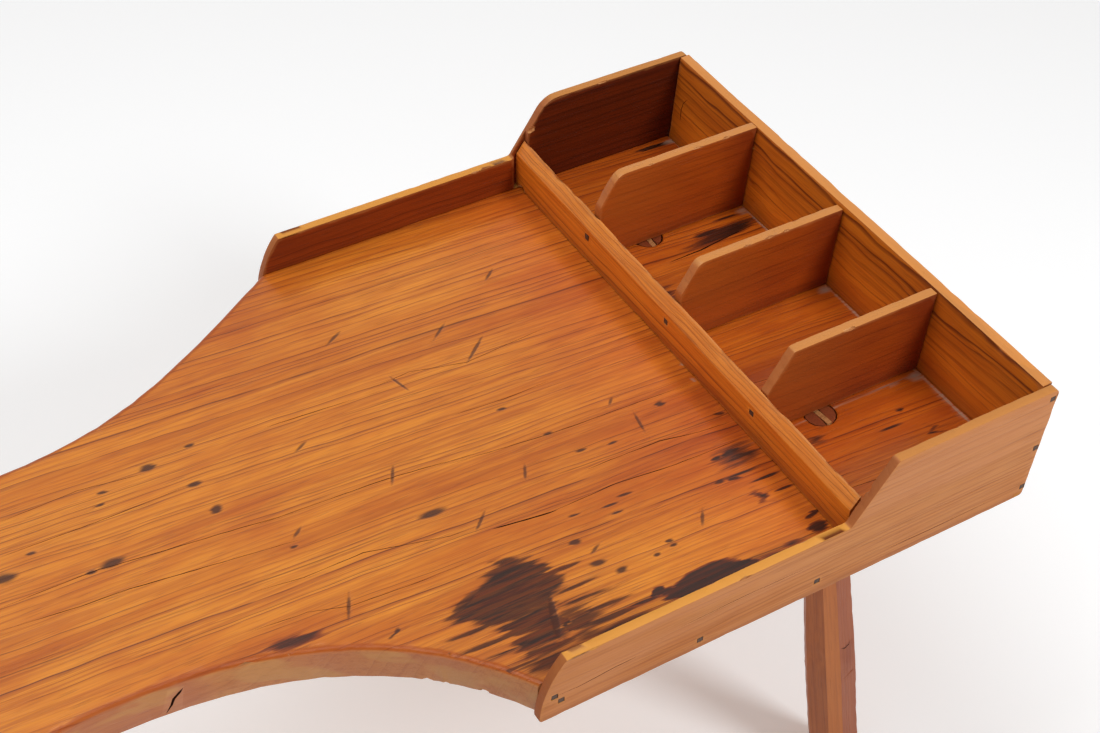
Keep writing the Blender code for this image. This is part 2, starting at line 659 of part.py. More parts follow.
def build():
    clear_scene()
    pine = wood("varnished_pine", PINE)
    side_pine = wood("side_board_pine", SIDE_PINE)
    tray_pine = wood("tray_pine", TRAY_PINE)
    leg_wood = wood("leg_wood", LEG_WOOD)
    wedge_wood = wood("wedge_wood", WEDGE_WOOD)
    iron = wood("nail_iron", IRON)

    bench = bpy.data.objects.new("bench", None)
    bpy.context.scene.collection.objects.link(bench)
    pieces = {
        "plank": plank(pine, bench),
        "tray_end_board": end_board(tray_pine, bench),
        "tray_front_rail": front_rail(pine, bench),
    }
    for name, side, length, bottom, head_round in (
        ("right_side_board", -1, RIGHT_SIDE_LENGTH, RIGHT_BOARD_BOTTOM, RIGHT_STEP_HEAD_ROUND),
        ("left_side_board", 1, LEFT_SIDE_LENGTH, LEFT_BOARD_BOTTOM, LEFT_STEP_HEAD_ROUND),
    ):
        pieces[name] = side_board(name, side, length, bottom, head_round, side_pine, bench)
    shapes = (
        (RIGHT_PARTITION_HEIGHT, RIGHT_PARTITION_RISE, RIGHT_PARTITION_ROUND),
        (MIDDLE_PARTITION_HEIGHT, MIDDLE_PARTITION_RISE, MIDDLE_PARTITION_ROUND),
        (LEFT_PARTITION_HEIGHT, LEFT_PARTITION_RISE, LEFT_PARTITION_ROUND),
    )
    for (name, y), (height, rise, corner_round) in zip(partition_places(), shapes):
        pieces[name] = partition(name, y, height, rise, corner_round, tray_pine, bench)
    cut(pieces["left_side_board"], rail_housing(bench))
    hollow = add_cutter("seat_hollow", dish(), bench)
    cut(pieces["plank"], hollow)
    tray_leg_x = TRAY_END_X - TRAY_LEG_INSET
    seat_leg_x = SEAT_TIP_X + SEAT_LEG_INSET
    tray_leg_y = HALF_WORK - TRAY_LEG_EDGE_INSET
    seat_leg_y = SEAT_WIDTH / 2 - SEAT_LEG_EDGE_INSET
    for end, x, y, forward, outward in (
        ("tray", tray_leg_x, tray_leg_y, TRAY_LEG_FORWARD_LEAN, TRAY_LEG_OUTWARD_LEAN),
        ("seat", seat_leg_x, seat_leg_y, -SEAT_LEG_BACKWARD_LEAN, SEAT_LEG_OUTWARD_LEAN),
    ):
        for side_name, side in (("right", -1), ("left", 1)):
            label = f"{end}_{side_name}"
            mount = leg_mount(f"mount_{label}", x, side * y, forward, side * outward, bench)
            stick = leg(f"leg_{label}", mount, leg_wood)
            tightener = wedge(f"wedge_{label}", mount, wedge_wood)
            cut(pieces["plank"], mortise(f"mortise_{label}", mount))
            if end == "seat":
                cut(stick, hollow)
                cut(tightener, hollow)
    drive_nails(pieces, iron, bench)


build()
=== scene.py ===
"""Looks of an old cobbler's bench: worn, varnished pine on hand-shaved legs.

The boards and legs are worn copies of their construction pieces: cracks and chips are cut into them,
dents are pressed into the plank, arrises are rubbed down and faces dip a little. Node groups draw the
wood, and the nails and wedges keep their construction pieces' shapes.
"""

import logging
import math
from dataclasses import dataclass
from enum import Enum

import bmesh
import bpy
from mathutils import Matrix, Vector, noise
from mathutils.bvhtree import BVHTree
from mathutils.kdtree import KDTree


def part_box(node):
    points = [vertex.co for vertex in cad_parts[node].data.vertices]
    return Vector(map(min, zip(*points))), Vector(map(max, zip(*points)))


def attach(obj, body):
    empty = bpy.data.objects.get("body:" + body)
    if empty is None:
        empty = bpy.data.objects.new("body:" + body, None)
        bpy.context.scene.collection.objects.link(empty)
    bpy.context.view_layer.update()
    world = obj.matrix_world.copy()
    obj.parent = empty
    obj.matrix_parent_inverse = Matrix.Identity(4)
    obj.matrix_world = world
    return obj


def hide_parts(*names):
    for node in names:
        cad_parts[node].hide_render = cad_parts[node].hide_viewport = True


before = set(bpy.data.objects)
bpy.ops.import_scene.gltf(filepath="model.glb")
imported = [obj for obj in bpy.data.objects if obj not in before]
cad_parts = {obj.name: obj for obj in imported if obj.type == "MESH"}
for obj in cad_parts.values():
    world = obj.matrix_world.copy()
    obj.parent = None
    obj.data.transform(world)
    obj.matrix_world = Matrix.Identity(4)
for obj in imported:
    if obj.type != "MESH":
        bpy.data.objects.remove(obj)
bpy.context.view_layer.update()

Colour = tuple[float, float, float, float]
Triple = tuple[float, float, float]
Socket = bpy.types.NodeSocket

BODY = "root"
UP = (0.0, 0.0, 1.0)
MERGE_DISTANCE = 0.00001
FLAT_ANGLE = math.radians(0.6)
ARRIS_ANGLE = math.radians(14.0)
SMOOTH_ANGLE = math.radians(38.0)
PLANK_DRIFT = 0.062  # slant of the plank's grain to its length

log = logging.getLogger("cobblers_bench")


def tone(red: int, green: int, blue: int) -> Colour:
    """Turn a colour as a screen shows it, 0 to 255, into the linear values that shaders take.

    Args:
        red: Red value.
        green: Green value.
        blue: Blue value.

    Returns:
        The linear colour with full alpha.
    """
    def linear(value: int) -> float:
        """Return one linear value, by the usual curve of screens."""
        share = value / 255.0
        return share / 12.92 if share <= 0.04045 else ((share + 0.055) / 1.055) ** 2.4
    return (linear(red), linear(green), linear(blue), 1.0)


class Graph:
    """Adds nodes to one node tree and wires them."""

    def __init__(self, tree: bpy.types.NodeTree) -> None:
        """Keep the tree that is to be filled."""
        self.tree = tree

    def add(self, kind: str, inputs: dict | None = None, **settings: object) -> bpy.types.Node:
        """Add one node.

        Args:
            kind: The node's type name.
            inputs: Values or sockets by input name or number.
            settings: The node's own properties.

        Returns:
            The node.
        """
        node = self.tree.nodes.new(kind)
        for name, value in settings.items():
            setattr(node, name, value)
        for key, value in (inputs or {}).items():
            self.feed(node.inputs[key], value)
        return node

    def feed(self, socket: Socket, value: object) -> None:
        """Link a socket to an input, or set the input's value.

        Args:
            socket: The input.
            value: An output socket or a plain value.
        """
        if isinstance(value, bpy.types.NodeSocket):
            self.tree.links.new(value, socket)
        else:
            socket.default_value = value

    def math(self, operation: str, first: object, second: object = 0.0) -> Socket:
        """Return the result of a Math node."""
        return self.add("ShaderNodeMath", {0: first, 1: second}, operation=operation).outputs[0]

    def times(self, first: object, second: object) -> Socket:
        """Return the product of two values."""
        return self.math("MULTIPLY", first, second)

    def plus(self, first: object, second: object) -> Socket:
        """Return the sum of two values."""
        return self.math("ADD", first, second)

    def minus(self, first: object, second: object) -> Socket:
        """Return the first value less the second."""
        return self.math("SUBTRACT", first, second)

    def invert(self, value: object) -> Socket:
        """Return one minus a value."""
        return self.minus(1.0, value)

    def line(self, value: object, slope: float, start: float) -> Socket:
        """Return a value times a slope, plus a start."""
        inputs = {0: value, 1: slope, 2: start}
        return self.add("ShaderNodeMath", inputs, operation="MULTIPLY_ADD").outputs[0]

    def vector(self, operation: str, first: object, second: object = (0.0, 0.0, 0.0)) -> Socket:
        """Return the result of a Vector Math node, a number for a length or a dot product."""
        node = self.add("ShaderNodeVectorMath", {0: first, 1: second}, operation=operation)
        return node.outputs["Value" if operation in {"LENGTH", "DOT_PRODUCT"} else "Vector"]

    def axes(self, vector: object) -> tuple[Socket, Socket, Socket]:
        """Return a vector's three parts."""
        node = self.add("ShaderNodeSeparateXYZ", {0: vector})
        return node.outputs[0], node.outputs[1], node.outputs[2]

    def mix(self, factor: object, first: object, second: object, blend: str = "MIX") -> Socket:
        """Return a mix of two colours.

        Args:
            factor: Share of the second colour.
            first: First colour.
            second: Second colour.
            blend: The blend mode.

        Returns:
            The colour's socket.
        """
        node = self.add("ShaderNodeMix", data_type="RGBA", blend_type=blend)
        self.feed(node.inputs[0], factor)
        self.feed(node.inputs[6], first)
        self.feed(node.inputs[7], second)
        return node.outputs[2]

    def tint(self, colour: object, mask: object, share: object, target: object,
             blend: str = "MIX") -> Socket:
        """Return a colour into which a share of another is mixed where a mask says."""
        return self.mix(self.times(mask, share), colour, target, blend)

    def noise(self, vector: object, scale: Triple, detail: float = 2.0, roughness: float = 0.5) -> Socket:
        """Return a noise value, about 0.25 to 0.75.

        Args:
            vector: Position.
            scale: Features per metre along X, Y and Z.
            detail: Octaves.
            roughness: Weight of the finer octaves.

        Returns:
            The noise's socket.
        """
        scaled = self.vector("MULTIPLY", vector, scale)
        inputs = {"Vector": scaled, "Scale": 1.0, "Detail": detail, "Roughness": roughness}
        return self.add("ShaderNodeTexNoise", inputs).outputs[0]

    def stretched(self, vector: object, along: float, across: float, detail: float = 2.0) -> Socket:
        """Return noise drawn out along the grain, with so many features per metre along and across."""
        return self.noise(vector, (along, across, across), detail, 0.55)

    def step(self, value: object, low: object, high: object) -> Socket:
        """Return a soft step that goes from 0 at the low value to 1 at the high one."""
        inputs = {"Value": value, "From Min": low, "From Max": high}
        return self.add("ShaderNodeMapRange", inputs, interpolation_type="SMOOTHSTEP").outputs[0]

    def window(self, value: object, rise: tuple[float, float], fall: tuple[float, float]) -> Socket:
        """Return a mask that rises over one range of a value and falls over another."""
        return self.times(self.step(value, *rise), self.invert(self.step(value, *fall)))

    def dice(self, value: object) -> Socket:
        """Return a random value that stays the same from one whole number to the next."""
        return self.add("ShaderNodeTexWhiteNoise", {"W": self.math("FLOOR", value)},
                        noise_dimensions="1D").outputs["Value"]

    def group(self, tree: bpy.types.NodeTree, inputs: dict) -> bpy.types.Node:
        """Add a node group and return its node."""
        return self.add("ShaderNodeGroup", inputs, node_tree=tree)


class GroupShell:
    """A new shader node group with named inputs and outputs."""

    KINDS = {"value": "NodeSocketFloat", "vector": "NodeSocketVector", "colour": "NodeSocketColor"}

    def __init__(self, name: str, inputs: dict[str, str], outputs: dict[str, str]) -> None:
        """Make the group and its two end nodes.

        Args:
            name: The group's name.
            inputs: Kind of each input by name.
            outputs: Kind of each output by name.
        """
        self.tree = bpy.data.node_groups.new(name, "ShaderNodeTree")
        for way, sockets in (("INPUT", inputs), ("OUTPUT", outputs)):
            for label, kind in sockets.items():
                self.tree.interface.new_socket(label, in_out=way, socket_type=self.KINDS[kind])
        self.graph = Graph(self.tree)
        self.given = self.tree.nodes.new("NodeGroupInput").outputs
        self.result = self.tree.nodes.new("NodeGroupOutput").inputs


def count_rings(graph: Graph, given: object, place: Socket) -> Socket:
    """Count the growth rings across the grain.

    Args:
        graph: The timber group's graph.
        given: The group's inputs.
        place: Position, with the fibres on X and the rings following each other on Y.

    Returns:
        The number of rings up to a place, of which the fraction is the way through the last one.
    """
    along, across, deep = graph.axes(place)
    slow = graph.minus(graph.stretched(place, 1.7, 6.0), 0.5)
    ripple = graph.minus(graph.stretched(place, 11.0, 42.0), 0.5)
    bend = graph.plus(slow, graph.times(ripple, 0.30))
    way = graph.plus(across, graph.times(along, given["Drift"]))
    way = graph.plus(way, graph.times(deep, given["Tilt"]))
    way = graph.plus(way, graph.times(bend, given["Wander"]))
    ring = graph.math("DIVIDE", way, given["Spacing"])
    uneven = graph.add("ShaderNodeTexNoise", {"W": ring, "Scale": 0.37, "Detail": 1.0},
                       noise_dimensions="1D").outputs[0]
    return graph.plus(ring, graph.times(uneven, 2.6))


def timber_group() -> bpy.types.NodeTree:
    """Make the wood grain: growth rings, finer lines, fibres, flecks and blotches.

    Returns:
        The group's tree. Its vector runs along the grain on X, and the rings follow each other on Y.
    """
    shell = GroupShell("timber", {
        "Vector": "vector", "Seed": "value", "Light": "colour", "Base": "colour", "Dark": "colour",
        "Line": "colour", "Spacing": "value", "Tilt": "value", "Drift": "value", "Wander": "value",
        "Line Strength": "value", "Fibre Strength": "value", "Blotch Strength": "value",
    }, {"Color": "colour", "Height": "value", "Lines": "value", "Blotch": "value"})
    graph, given = shell.graph, shell.given
    shift = graph.vector("MULTIPLY", (0.37, 0.61, 0.23), given["Seed"])
    place = graph.vector("ADD", given["Vector"], shift)

    # Late wood darkens towards the end of each ring, more in some rings, and breaks off here and there.
    ring = count_rings(graph, given, place)
    part = graph.math("FRACT", ring)
    weight = graph.dice(ring)
    broken = graph.step(graph.stretched(place, 16.0, 190.0), 0.28, 0.5)
    late = graph.window(part, (0.45, 0.93), (0.945, 1.0))
    late = graph.times(late, graph.line(weight, 0.65, 0.35))
    late = graph.times(late, graph.line(broken, 0.5, 0.5))

    # Finer lines between the rings, only in patches.
    patch = graph.step(graph.stretched(place, 5.0, 60.0), 0.42, 0.66)
    fine = graph.window(graph.math("FRACT", graph.times(ring, 3.3)), (0.5, 0.9), (0.9, 1.0))
    fine = graph.times(fine, graph.times(patch, 0.55))

    # Fibres, hairs and flecks along the grain, and blotches.
    fibre = graph.stretched(place, 5.5, 360.0, 3.0)
    hair = graph.stretched(place, 24.0, 1500.0)
    fleck = graph.step(graph.stretched(place, 36.0, 900.0, 1.0), 0.62, 0.72)
    blotch = graph.step(graph.noise(place, (3.2, 8.0, 8.0), 3.0, 0.6), 0.36, 0.66)
    mottle = graph.step(graph.stretched(place, 24.0, 85.0), 0.34, 0.68)
    patchy = graph.plus(graph.times(blotch, 0.65), graph.times(mottle, 0.35))
    colour = graph.tint(given["Light"], patchy, given["Blotch Strength"], given["Base"])
    colour = graph.tint(colour, graph.step(fibre, 0.45, 0.72), given["Fibre Strength"], given["Dark"])
    colour = graph.tint(colour, fine, given["Line Strength"], given["Dark"])
    colour = graph.tint(colour, late, given["Line Strength"], given["Dark"])

    # A crisp line where the stronger rings end.
    crisp = graph.window(part, (0.86, 0.93), (0.95, 0.99))
    crisp = graph.times(crisp, graph.times(broken, graph.step(weight, 0.2, 0.7)))
    colour = graph.tint(colour, crisp, given["Line Strength"], given["Line"])

    # A few long thin lines, further apart.
    sparse = graph.math("DIVIDE", ring, 3.7)
    thin = graph.window(graph.math("FRACT", sparse), (0.93, 0.965), (0.97, 0.995))
    broken_off = graph.step(graph.stretched(place, 4.0, 70.0), 0.38, 0.52)
    thin = graph.times(thin, graph.times(broken_off, graph.step(graph.dice(sparse), 0.25, 0.6)))
    colour = graph.tint(colour, thin, given["Line Strength"], given["Line"])
    colour = graph.mix(graph.times(graph.times(fleck, given["Fibre Strength"]), 0.5), colour, given["Line"])
    lit = graph.add("ShaderNodeVectorMath", {0: colour, "Scale": graph.line(hair, 0.34, 0.83)},
                    operation="SCALE").outputs[0]

    height = graph.minus(graph.times(fibre, 0.8), graph.times(late, 0.7))
    height = graph.plus(height, graph.times(hair, 0.35))
    height = graph.minus(height, graph.times(fleck, 0.5))
    for label, value in (("Color", lit), ("Height", height), ("Lines", late), ("Blotch", blotch)):
        graph.feed(shell.result[label], value)
    return shell.tree


def rub_group() -> bpy.types.NodeTree:
    """Make the rubbed band along the arrises, from each point's distance to the nearest arris.

    Returns:
        The group's tree. It puts out 1 on the arris and 0 on the faces.
    """
    shell = GroupShell("rub", {"Vector": "vector", "Distance": "value", "Width": "value", "Rag": "value"},
                       {"Mask": "value"})
    graph, given = shell.graph, shell.given
    broad = graph.minus(graph.noise(given["Vector"], (55.0, 55.0, 55.0), 3.0), 0.5)
    away = graph.math("DIVIDE", given["Distance"], given["Width"])
    away = graph.plus(away, graph.times(broad, given["Rag"]))
    graph.feed(shell.result["Mask"], graph.invert(graph.step(away, 0.2, 1.0)))
    return shell.tree


TIMBER = timber_group()
RUB = rub_group()


@dataclass(frozen=True)
class Grain:
    """How the grain lies in a piece.

    Attributes:
        along: Direction of the fibres.
        across: Direction in which the growth rings follow each other.
    """

    along: Triple = (1.0, 0.0, 0.0)
    across: Triple = (0.0, 1.0, 0.0)

    def turn(self) -> Triple:
        """Work out the turn that lays the fibres on X and the rings' direction on Y.

        Returns:
            The turn, as Euler angles.
        """
        along = Vector(self.along).normalized()
        deep = along.cross(Vector(self.across)).normalized()
        across = deep.cross(along)
        return tuple(Matrix((along, across, deep)).to_euler())


@dataclass(frozen=True)
class Wood:
    """One wood: its four colours, and how its rings and fibres show.

    Attributes:
        light: Colour of the palest wood.
        base: Colour of most of the wood.
        dark: Colour of the darker fibres.
        line: Colour of the dark lines of the growth rings.
        spacing: From one ring to the next.
        tilt: Slant of the rings through the thickness.
        drift: Slant of the lines to the piece's length.
        wander: How far the lines wander sideways.
        line_strength: How strongly the lines show.
        fibre_strength: How strongly the fibres show.
        blotch_strength: How much of the paler colour gives way to the base colour.
    """

    light: Colour
    base: Colour
    dark: Colour
    line: Colour
    spacing: float = 0.0085
    tilt: float = 0.25
    drift: float = 0.0
    wander: float = 0.02
    line_strength: float = 0.7
    fibre_strength: float = 0.5
    blotch_strength: float = 0.8

    def draw(self, graph: Graph, place: Socket, seed: float) -> bpy.types.Node:
        """Draw the wood.

        Args:
            graph: The material's graph.
            place: Position in the grain's frame.
            seed: Makes one piece differ from the next.

        Returns:
            The group node, with Color, Height, Lines and Blotch.
        """
        return graph.group(TIMBER, {
            "Vector": place, "Seed": seed, "Light": self.light, "Base": self.base, "Dark": self.dark,
            "Line": self.line, "Spacing": self.spacing, "Tilt": self.tilt, "Drift": self.drift,
            "Wander": self.wander, "Line Strength": self.line_strength,
            "Fibre Strength": self.fibre_strength, "Blotch Strength": self.blotch_strength,
        })


# How far around its marks the mesh is fine, and how far from its outline a patch can be felt.
MARK_MARGIN = 0.0012
MARK_SPREAD = 1.4
PATCH_MARGIN = 0.011
PATCH_REACH = 0.02


@dataclass(frozen=True)
class Mark:
    """One oval mark on the plank's top: a scar, a scratch, a stain, dust or part of the burn.

    Attributes:
        x: Place along the bench.
        y: Place across it.
        half_length: Half its length.
        half_width: Half its width.
        turn: Turn from the bench's length, in degrees.
        strength: At 1 the mark ends about its outline, above 1 past it and under 1 inside it.
            Under 0 it weakens the marks before it.
    """

    x: float
    y: float
    half_length: float
    half_width: float
    turn: float = -4.0
    strength: float = 1.0

    def middle(self) -> tuple[float, float]:
        """Return the mark's middle."""
        return (self.x, self.y)

    def reach(self) -> float:
        """Return how far from its middle the mark can be felt."""
        return 2.0 * max(self.half_length, self.half_width)

    def away(self, place: Vector, margin: float = 0.0) -> float:
        """Return how far out a place is, where 1 is on the mark's outline.

        Args:
            place: A place on the plank.
            margin: What is added to the mark's half length and half width.

        Returns:
            The distance in units of the mark's size.
        """
        turn = math.radians(self.turn)
        away_x, away_y = place.x - self.x, place.y - self.y
        along = (away_x * math.cos(turn) + away_y * math.sin(turn)) / (self.half_length + margin)
        across = (away_y * math.cos(turn) - away_x * math.sin(turn)) / (self.half_width + margin)
        return math.hypot(along, across)

    def near(self, place: Vector) -> bool:
        """Return whether the mesh needs to be fine at a place."""
        return self.away(place, MARK_MARGIN) < MARK_SPREAD

    def field(self, place: Vector) -> float:
        """Return the strength at a place: full in the middle, half on the outline, 0 at twice the size."""
        return self.strength * max(0.0, 1.0 - 0.5 * self.away(place))


@dataclass(frozen=True)
class Patch:
    """A large mark with an outline of its own.

    Attributes:
        outline: Its corners in order, along and across the bench.
        soft: How far its edge takes to fade.
    """

    outline: tuple[tuple[float, float], ...]
    soft: float

    def middle(self) -> tuple[float, float]:
        """Return the patch's middle."""
        count = len(self.outline)
        return (sum(x for x, _ in self.outline) / count, sum(y for _, y in self.outline) / count)

    def reach(self) -> float:
        """Return how far from its middle the patch can be felt."""
        return PATCH_REACH + max(math.dist(self.middle(), corner) for corner in self.outline)

    def inside(self, place: Vector) -> float:
        """Return how far inside the outline a place is, less than 0 when outside.

        Args:
            place: A place on the plank.

        Returns:
            The distance to the outline.
        """
        within, nearest = False, 1.0
        for (ax, ay), (bx, by) in zip(self.outline, self.outline[1:] + self.outline[:1]):
            if (ay > place.y) != (by > place.y) and place.x < ax + (bx - ax) * (place.y - ay) / (by - ay):
                within = not within
            run_x, run_y = bx - ax, by - ay
            share = ((place.x - ax) * run_x + (place.y - ay) * run_y) / (run_x * run_x + run_y * run_y)
            share = min(1.0, max(0.0, share))
            nearest = min(nearest, math.hypot(place.x - ax - share * run_x, place.y - ay - share * run_y))
        return nearest if within else -nearest

    def near(self, place: Vector) -> bool:
        """Return whether the mesh needs to be fine at a place."""
        return self.inside(place) > -PATCH_MARGIN

    def field(self, place: Vector) -> float:
        """Return the patch's strength at a place, half on its outline."""
        return min(1.0, max(0.0, 0.5 + 0.5 * self.inside(place) / self.soft))


def stroke(start: tuple[float, float], end: tuple[float, float], half_width: float = 0.0015,
           strength: float = 0.9) -> Mark:
    """Make a mark that runs from one place to another.

    Args:
        start: Where it starts.
        end: Where it ends.
        half_width: Half its width.
        strength: How dark it is.

    Returns:
        The mark.
    """
    run_x, run_y = end[0] - start[0], end[1] - start[1]
    middle_x, middle_y = (start[0] + end[0]) / 2, (start[1] + end[1]) / 2
    return Mark(middle_x, middle_y, math.hypot(run_x, run_y) / 2, half_width,
                math.degrees(math.atan2(run_y, run_x)), strength)


@dataclass(frozen=True)
class MarkSet:
    """Marks of one kind, which share an attribute of the mesh.

    Attributes:
        name: The attribute's name.
        marks: The marks. A mark of negative strength weakens the ones before it.
        depth: How far they are pressed in.
        rag: How far their ends run out along the grain in streaks.
        fine: The marks need a fine mesh.
    """

    name: str
    marks: tuple[Mark | Patch, ...]
    depth: float = 0.0
    rag: float = 0.0
    fine: bool = True

    def streaked(self, place: Vector) -> Vector:
        """Move a place along the grain by a streaky amount.

        Args:
            place: A place on the plank.

        Returns:
            The moved place.
        """
        row = place.y + PLANK_DRIFT * place.x
        coarse = noise.noise(Vector((place.x * 12.0, row * 210.0, 3.0)))
        fine = noise.noise(Vector((place.x * 16.0, row * 480.0, 9.0)))
        return Vector((place.x + self.rag * (coarse + 0.6 * fine), place.y, place.z))


@dataclass(frozen=True)
class Gloss:
    """How a surface shines.

    Attributes:
        coat: Weight of the varnish.
        coat_roughness: Roughness of the varnish.
        shine: How much the wood itself reflects.
        relief: Depth of the grain.
    """

    coat: float = 0.0
    coat_roughness: float = 0.16
    shine: float = 0.5
    relief: float = 0.0002


class Surface:
    """A material in the making: its graph, its shader and the inputs that every wood reads."""

    def __init__(self, name: str, grain: Grain) -> None:
        """Start the material.

        Args:
            name: The material's name.
            grain: How the grain lies.
        """
        self.material = bpy.data.materials.new(name)
        self.material.use_nodes = True
        self.graph = Graph(self.material.node_tree)
        self.shader = self.material.node_tree.nodes["Principled BSDF"]
        coordinates = self.graph.add("ShaderNodeTexCoord")
        self.place = coordinates.outputs["Object"]
        self.normal = coordinates.outputs["Normal"]
        self.grained = self.graph.add("ShaderNodeMapping", {
            "Vector": self.place, "Rotation": grain.turn(),
        }, vector_type="POINT").outputs[0]
        self.distance = self.graph.add("ShaderNodeAttribute", attribute_name="arris").outputs["Fac"]

    def facing(self, direction: Triple, low: float, high: float) -> Socket:
        """Return where the surface faces a direction, from one cosine of the angle to another."""
        return self.graph.step(self.graph.vector("DOT_PRODUCT", self.normal, direction), low, high)

    def rubbed(self, width: float, rag: float = 1.6) -> Socket:
        """Return the rubbed band along the arrises.

        Args:
            width: The band's width.
            rag: Its raggedness.

        Returns:
            The mask's socket.
        """
        return self.graph.group(RUB, {
            "Vector": self.place, "Distance": self.distance, "Width": width, "Rag": rag,
        }).outputs["Mask"]

    def marked(self, name: str, soft: float, rag: float, streaks: Socket) -> Socket:
        """Return the marks of one kind, ragged along the grain.

        Args:
            name: The attribute that holds them.
            soft: Softness of their edges.
            rag: Raggedness of their edges.
            streaks: Streaky noise around one half.

        Returns:
            The mask's socket.
        """
        graph = self.graph
        level = graph.add("ShaderNodeAttribute", attribute_name=name).outputs["Fac"]
        sway = graph.times(graph.minus(streaks, 0.5), rag)
        sway = graph.times(sway, graph.step(level, 0.0, 0.3))
        return graph.step(graph.plus(level, sway), 0.5 - soft, 0.5 + soft)

    def close(self, colour: Socket, height: Socket, rough: object, gloss: Gloss,
              left: Socket | None = None) -> bpy.types.Material:
        """Feed the shader.

        Args:
            colour: Base colour.
            height: Height of the grain.
            rough: Roughness.
            gloss: How the surface shines.
            left: Where the varnish is left, if it isn't left everywhere.

        Returns:
            The material.
        """
        graph, inputs = self.graph, self.shader.inputs
        bump = graph.add("ShaderNodeBump", {"Height": height, "Strength": 1.0, "Distance": gloss.relief})
        graph.feed(inputs["Base Color"], colour)
        graph.feed(inputs["Roughness"], rough)
        graph.feed(inputs["Normal"], bump.outputs[0])
        graph.feed(inputs["Coat Weight"], graph.times(left, gloss.coat) if left else gloss.coat)
        inputs["Coat Roughness"].default_value = gloss.coat_roughness
        inputs["Specular IOR Level"].default_value = gloss.shine
        return self.material


class Cut(Enum):
    """What the wood shows where something has cut into it."""

    CRACK = "crack"
    BARE = "bare"


CUT_COLOURS = {
    Cut.CRACK: (tone(78, 34, 14), tone(38, 16, 8)),
    Cut.BARE: (tone(206, 146, 90), tone(160, 96, 50)),
}


def cut_material(cut: Cut) -> bpy.types.Material:
    """Make the finish inside a crack or a chip.

    Args:
        cut: Which one.

    Returns:
        The material.
    """
    surface = Surface(f"{cut.value}_wood", Grain())
    graph = surface.graph
    fibre = graph.stretched(surface.grained, 40.0, 900.0, 3.0)
    colour = graph.mix(graph.step(fibre, 0.35, 0.65), *CUT_COLOURS[cut])
    rough = graph.line(fibre, 0.3, 0.5)
    return surface.close(colour, fibre, rough, Gloss(shine=0.2))


@dataclass(frozen=True)
class Wear:
    """How a piece has worn.

    Attributes:
        rub: Most that an arris has lost.
        reach: How far from the arris the loss reaches.
        sway: Most that a face dips.
        slices: Distance between the slices that let the faces dip, along X, Y and Z, or 0 for none.
        broad: Broad changes per metre of what the arris has lost.
        small: Small nicks per metre in the arris.
        dips: Dips per metre of a face.
    """

    rub: float = 0.0007
    reach: float = 0.0035
    sway: float = 0.0003
    slices: Triple = (0.008, 0.008, 0.0)
    broad: float = 22.0
    small: float = 85.0
    dips: float = 13.0


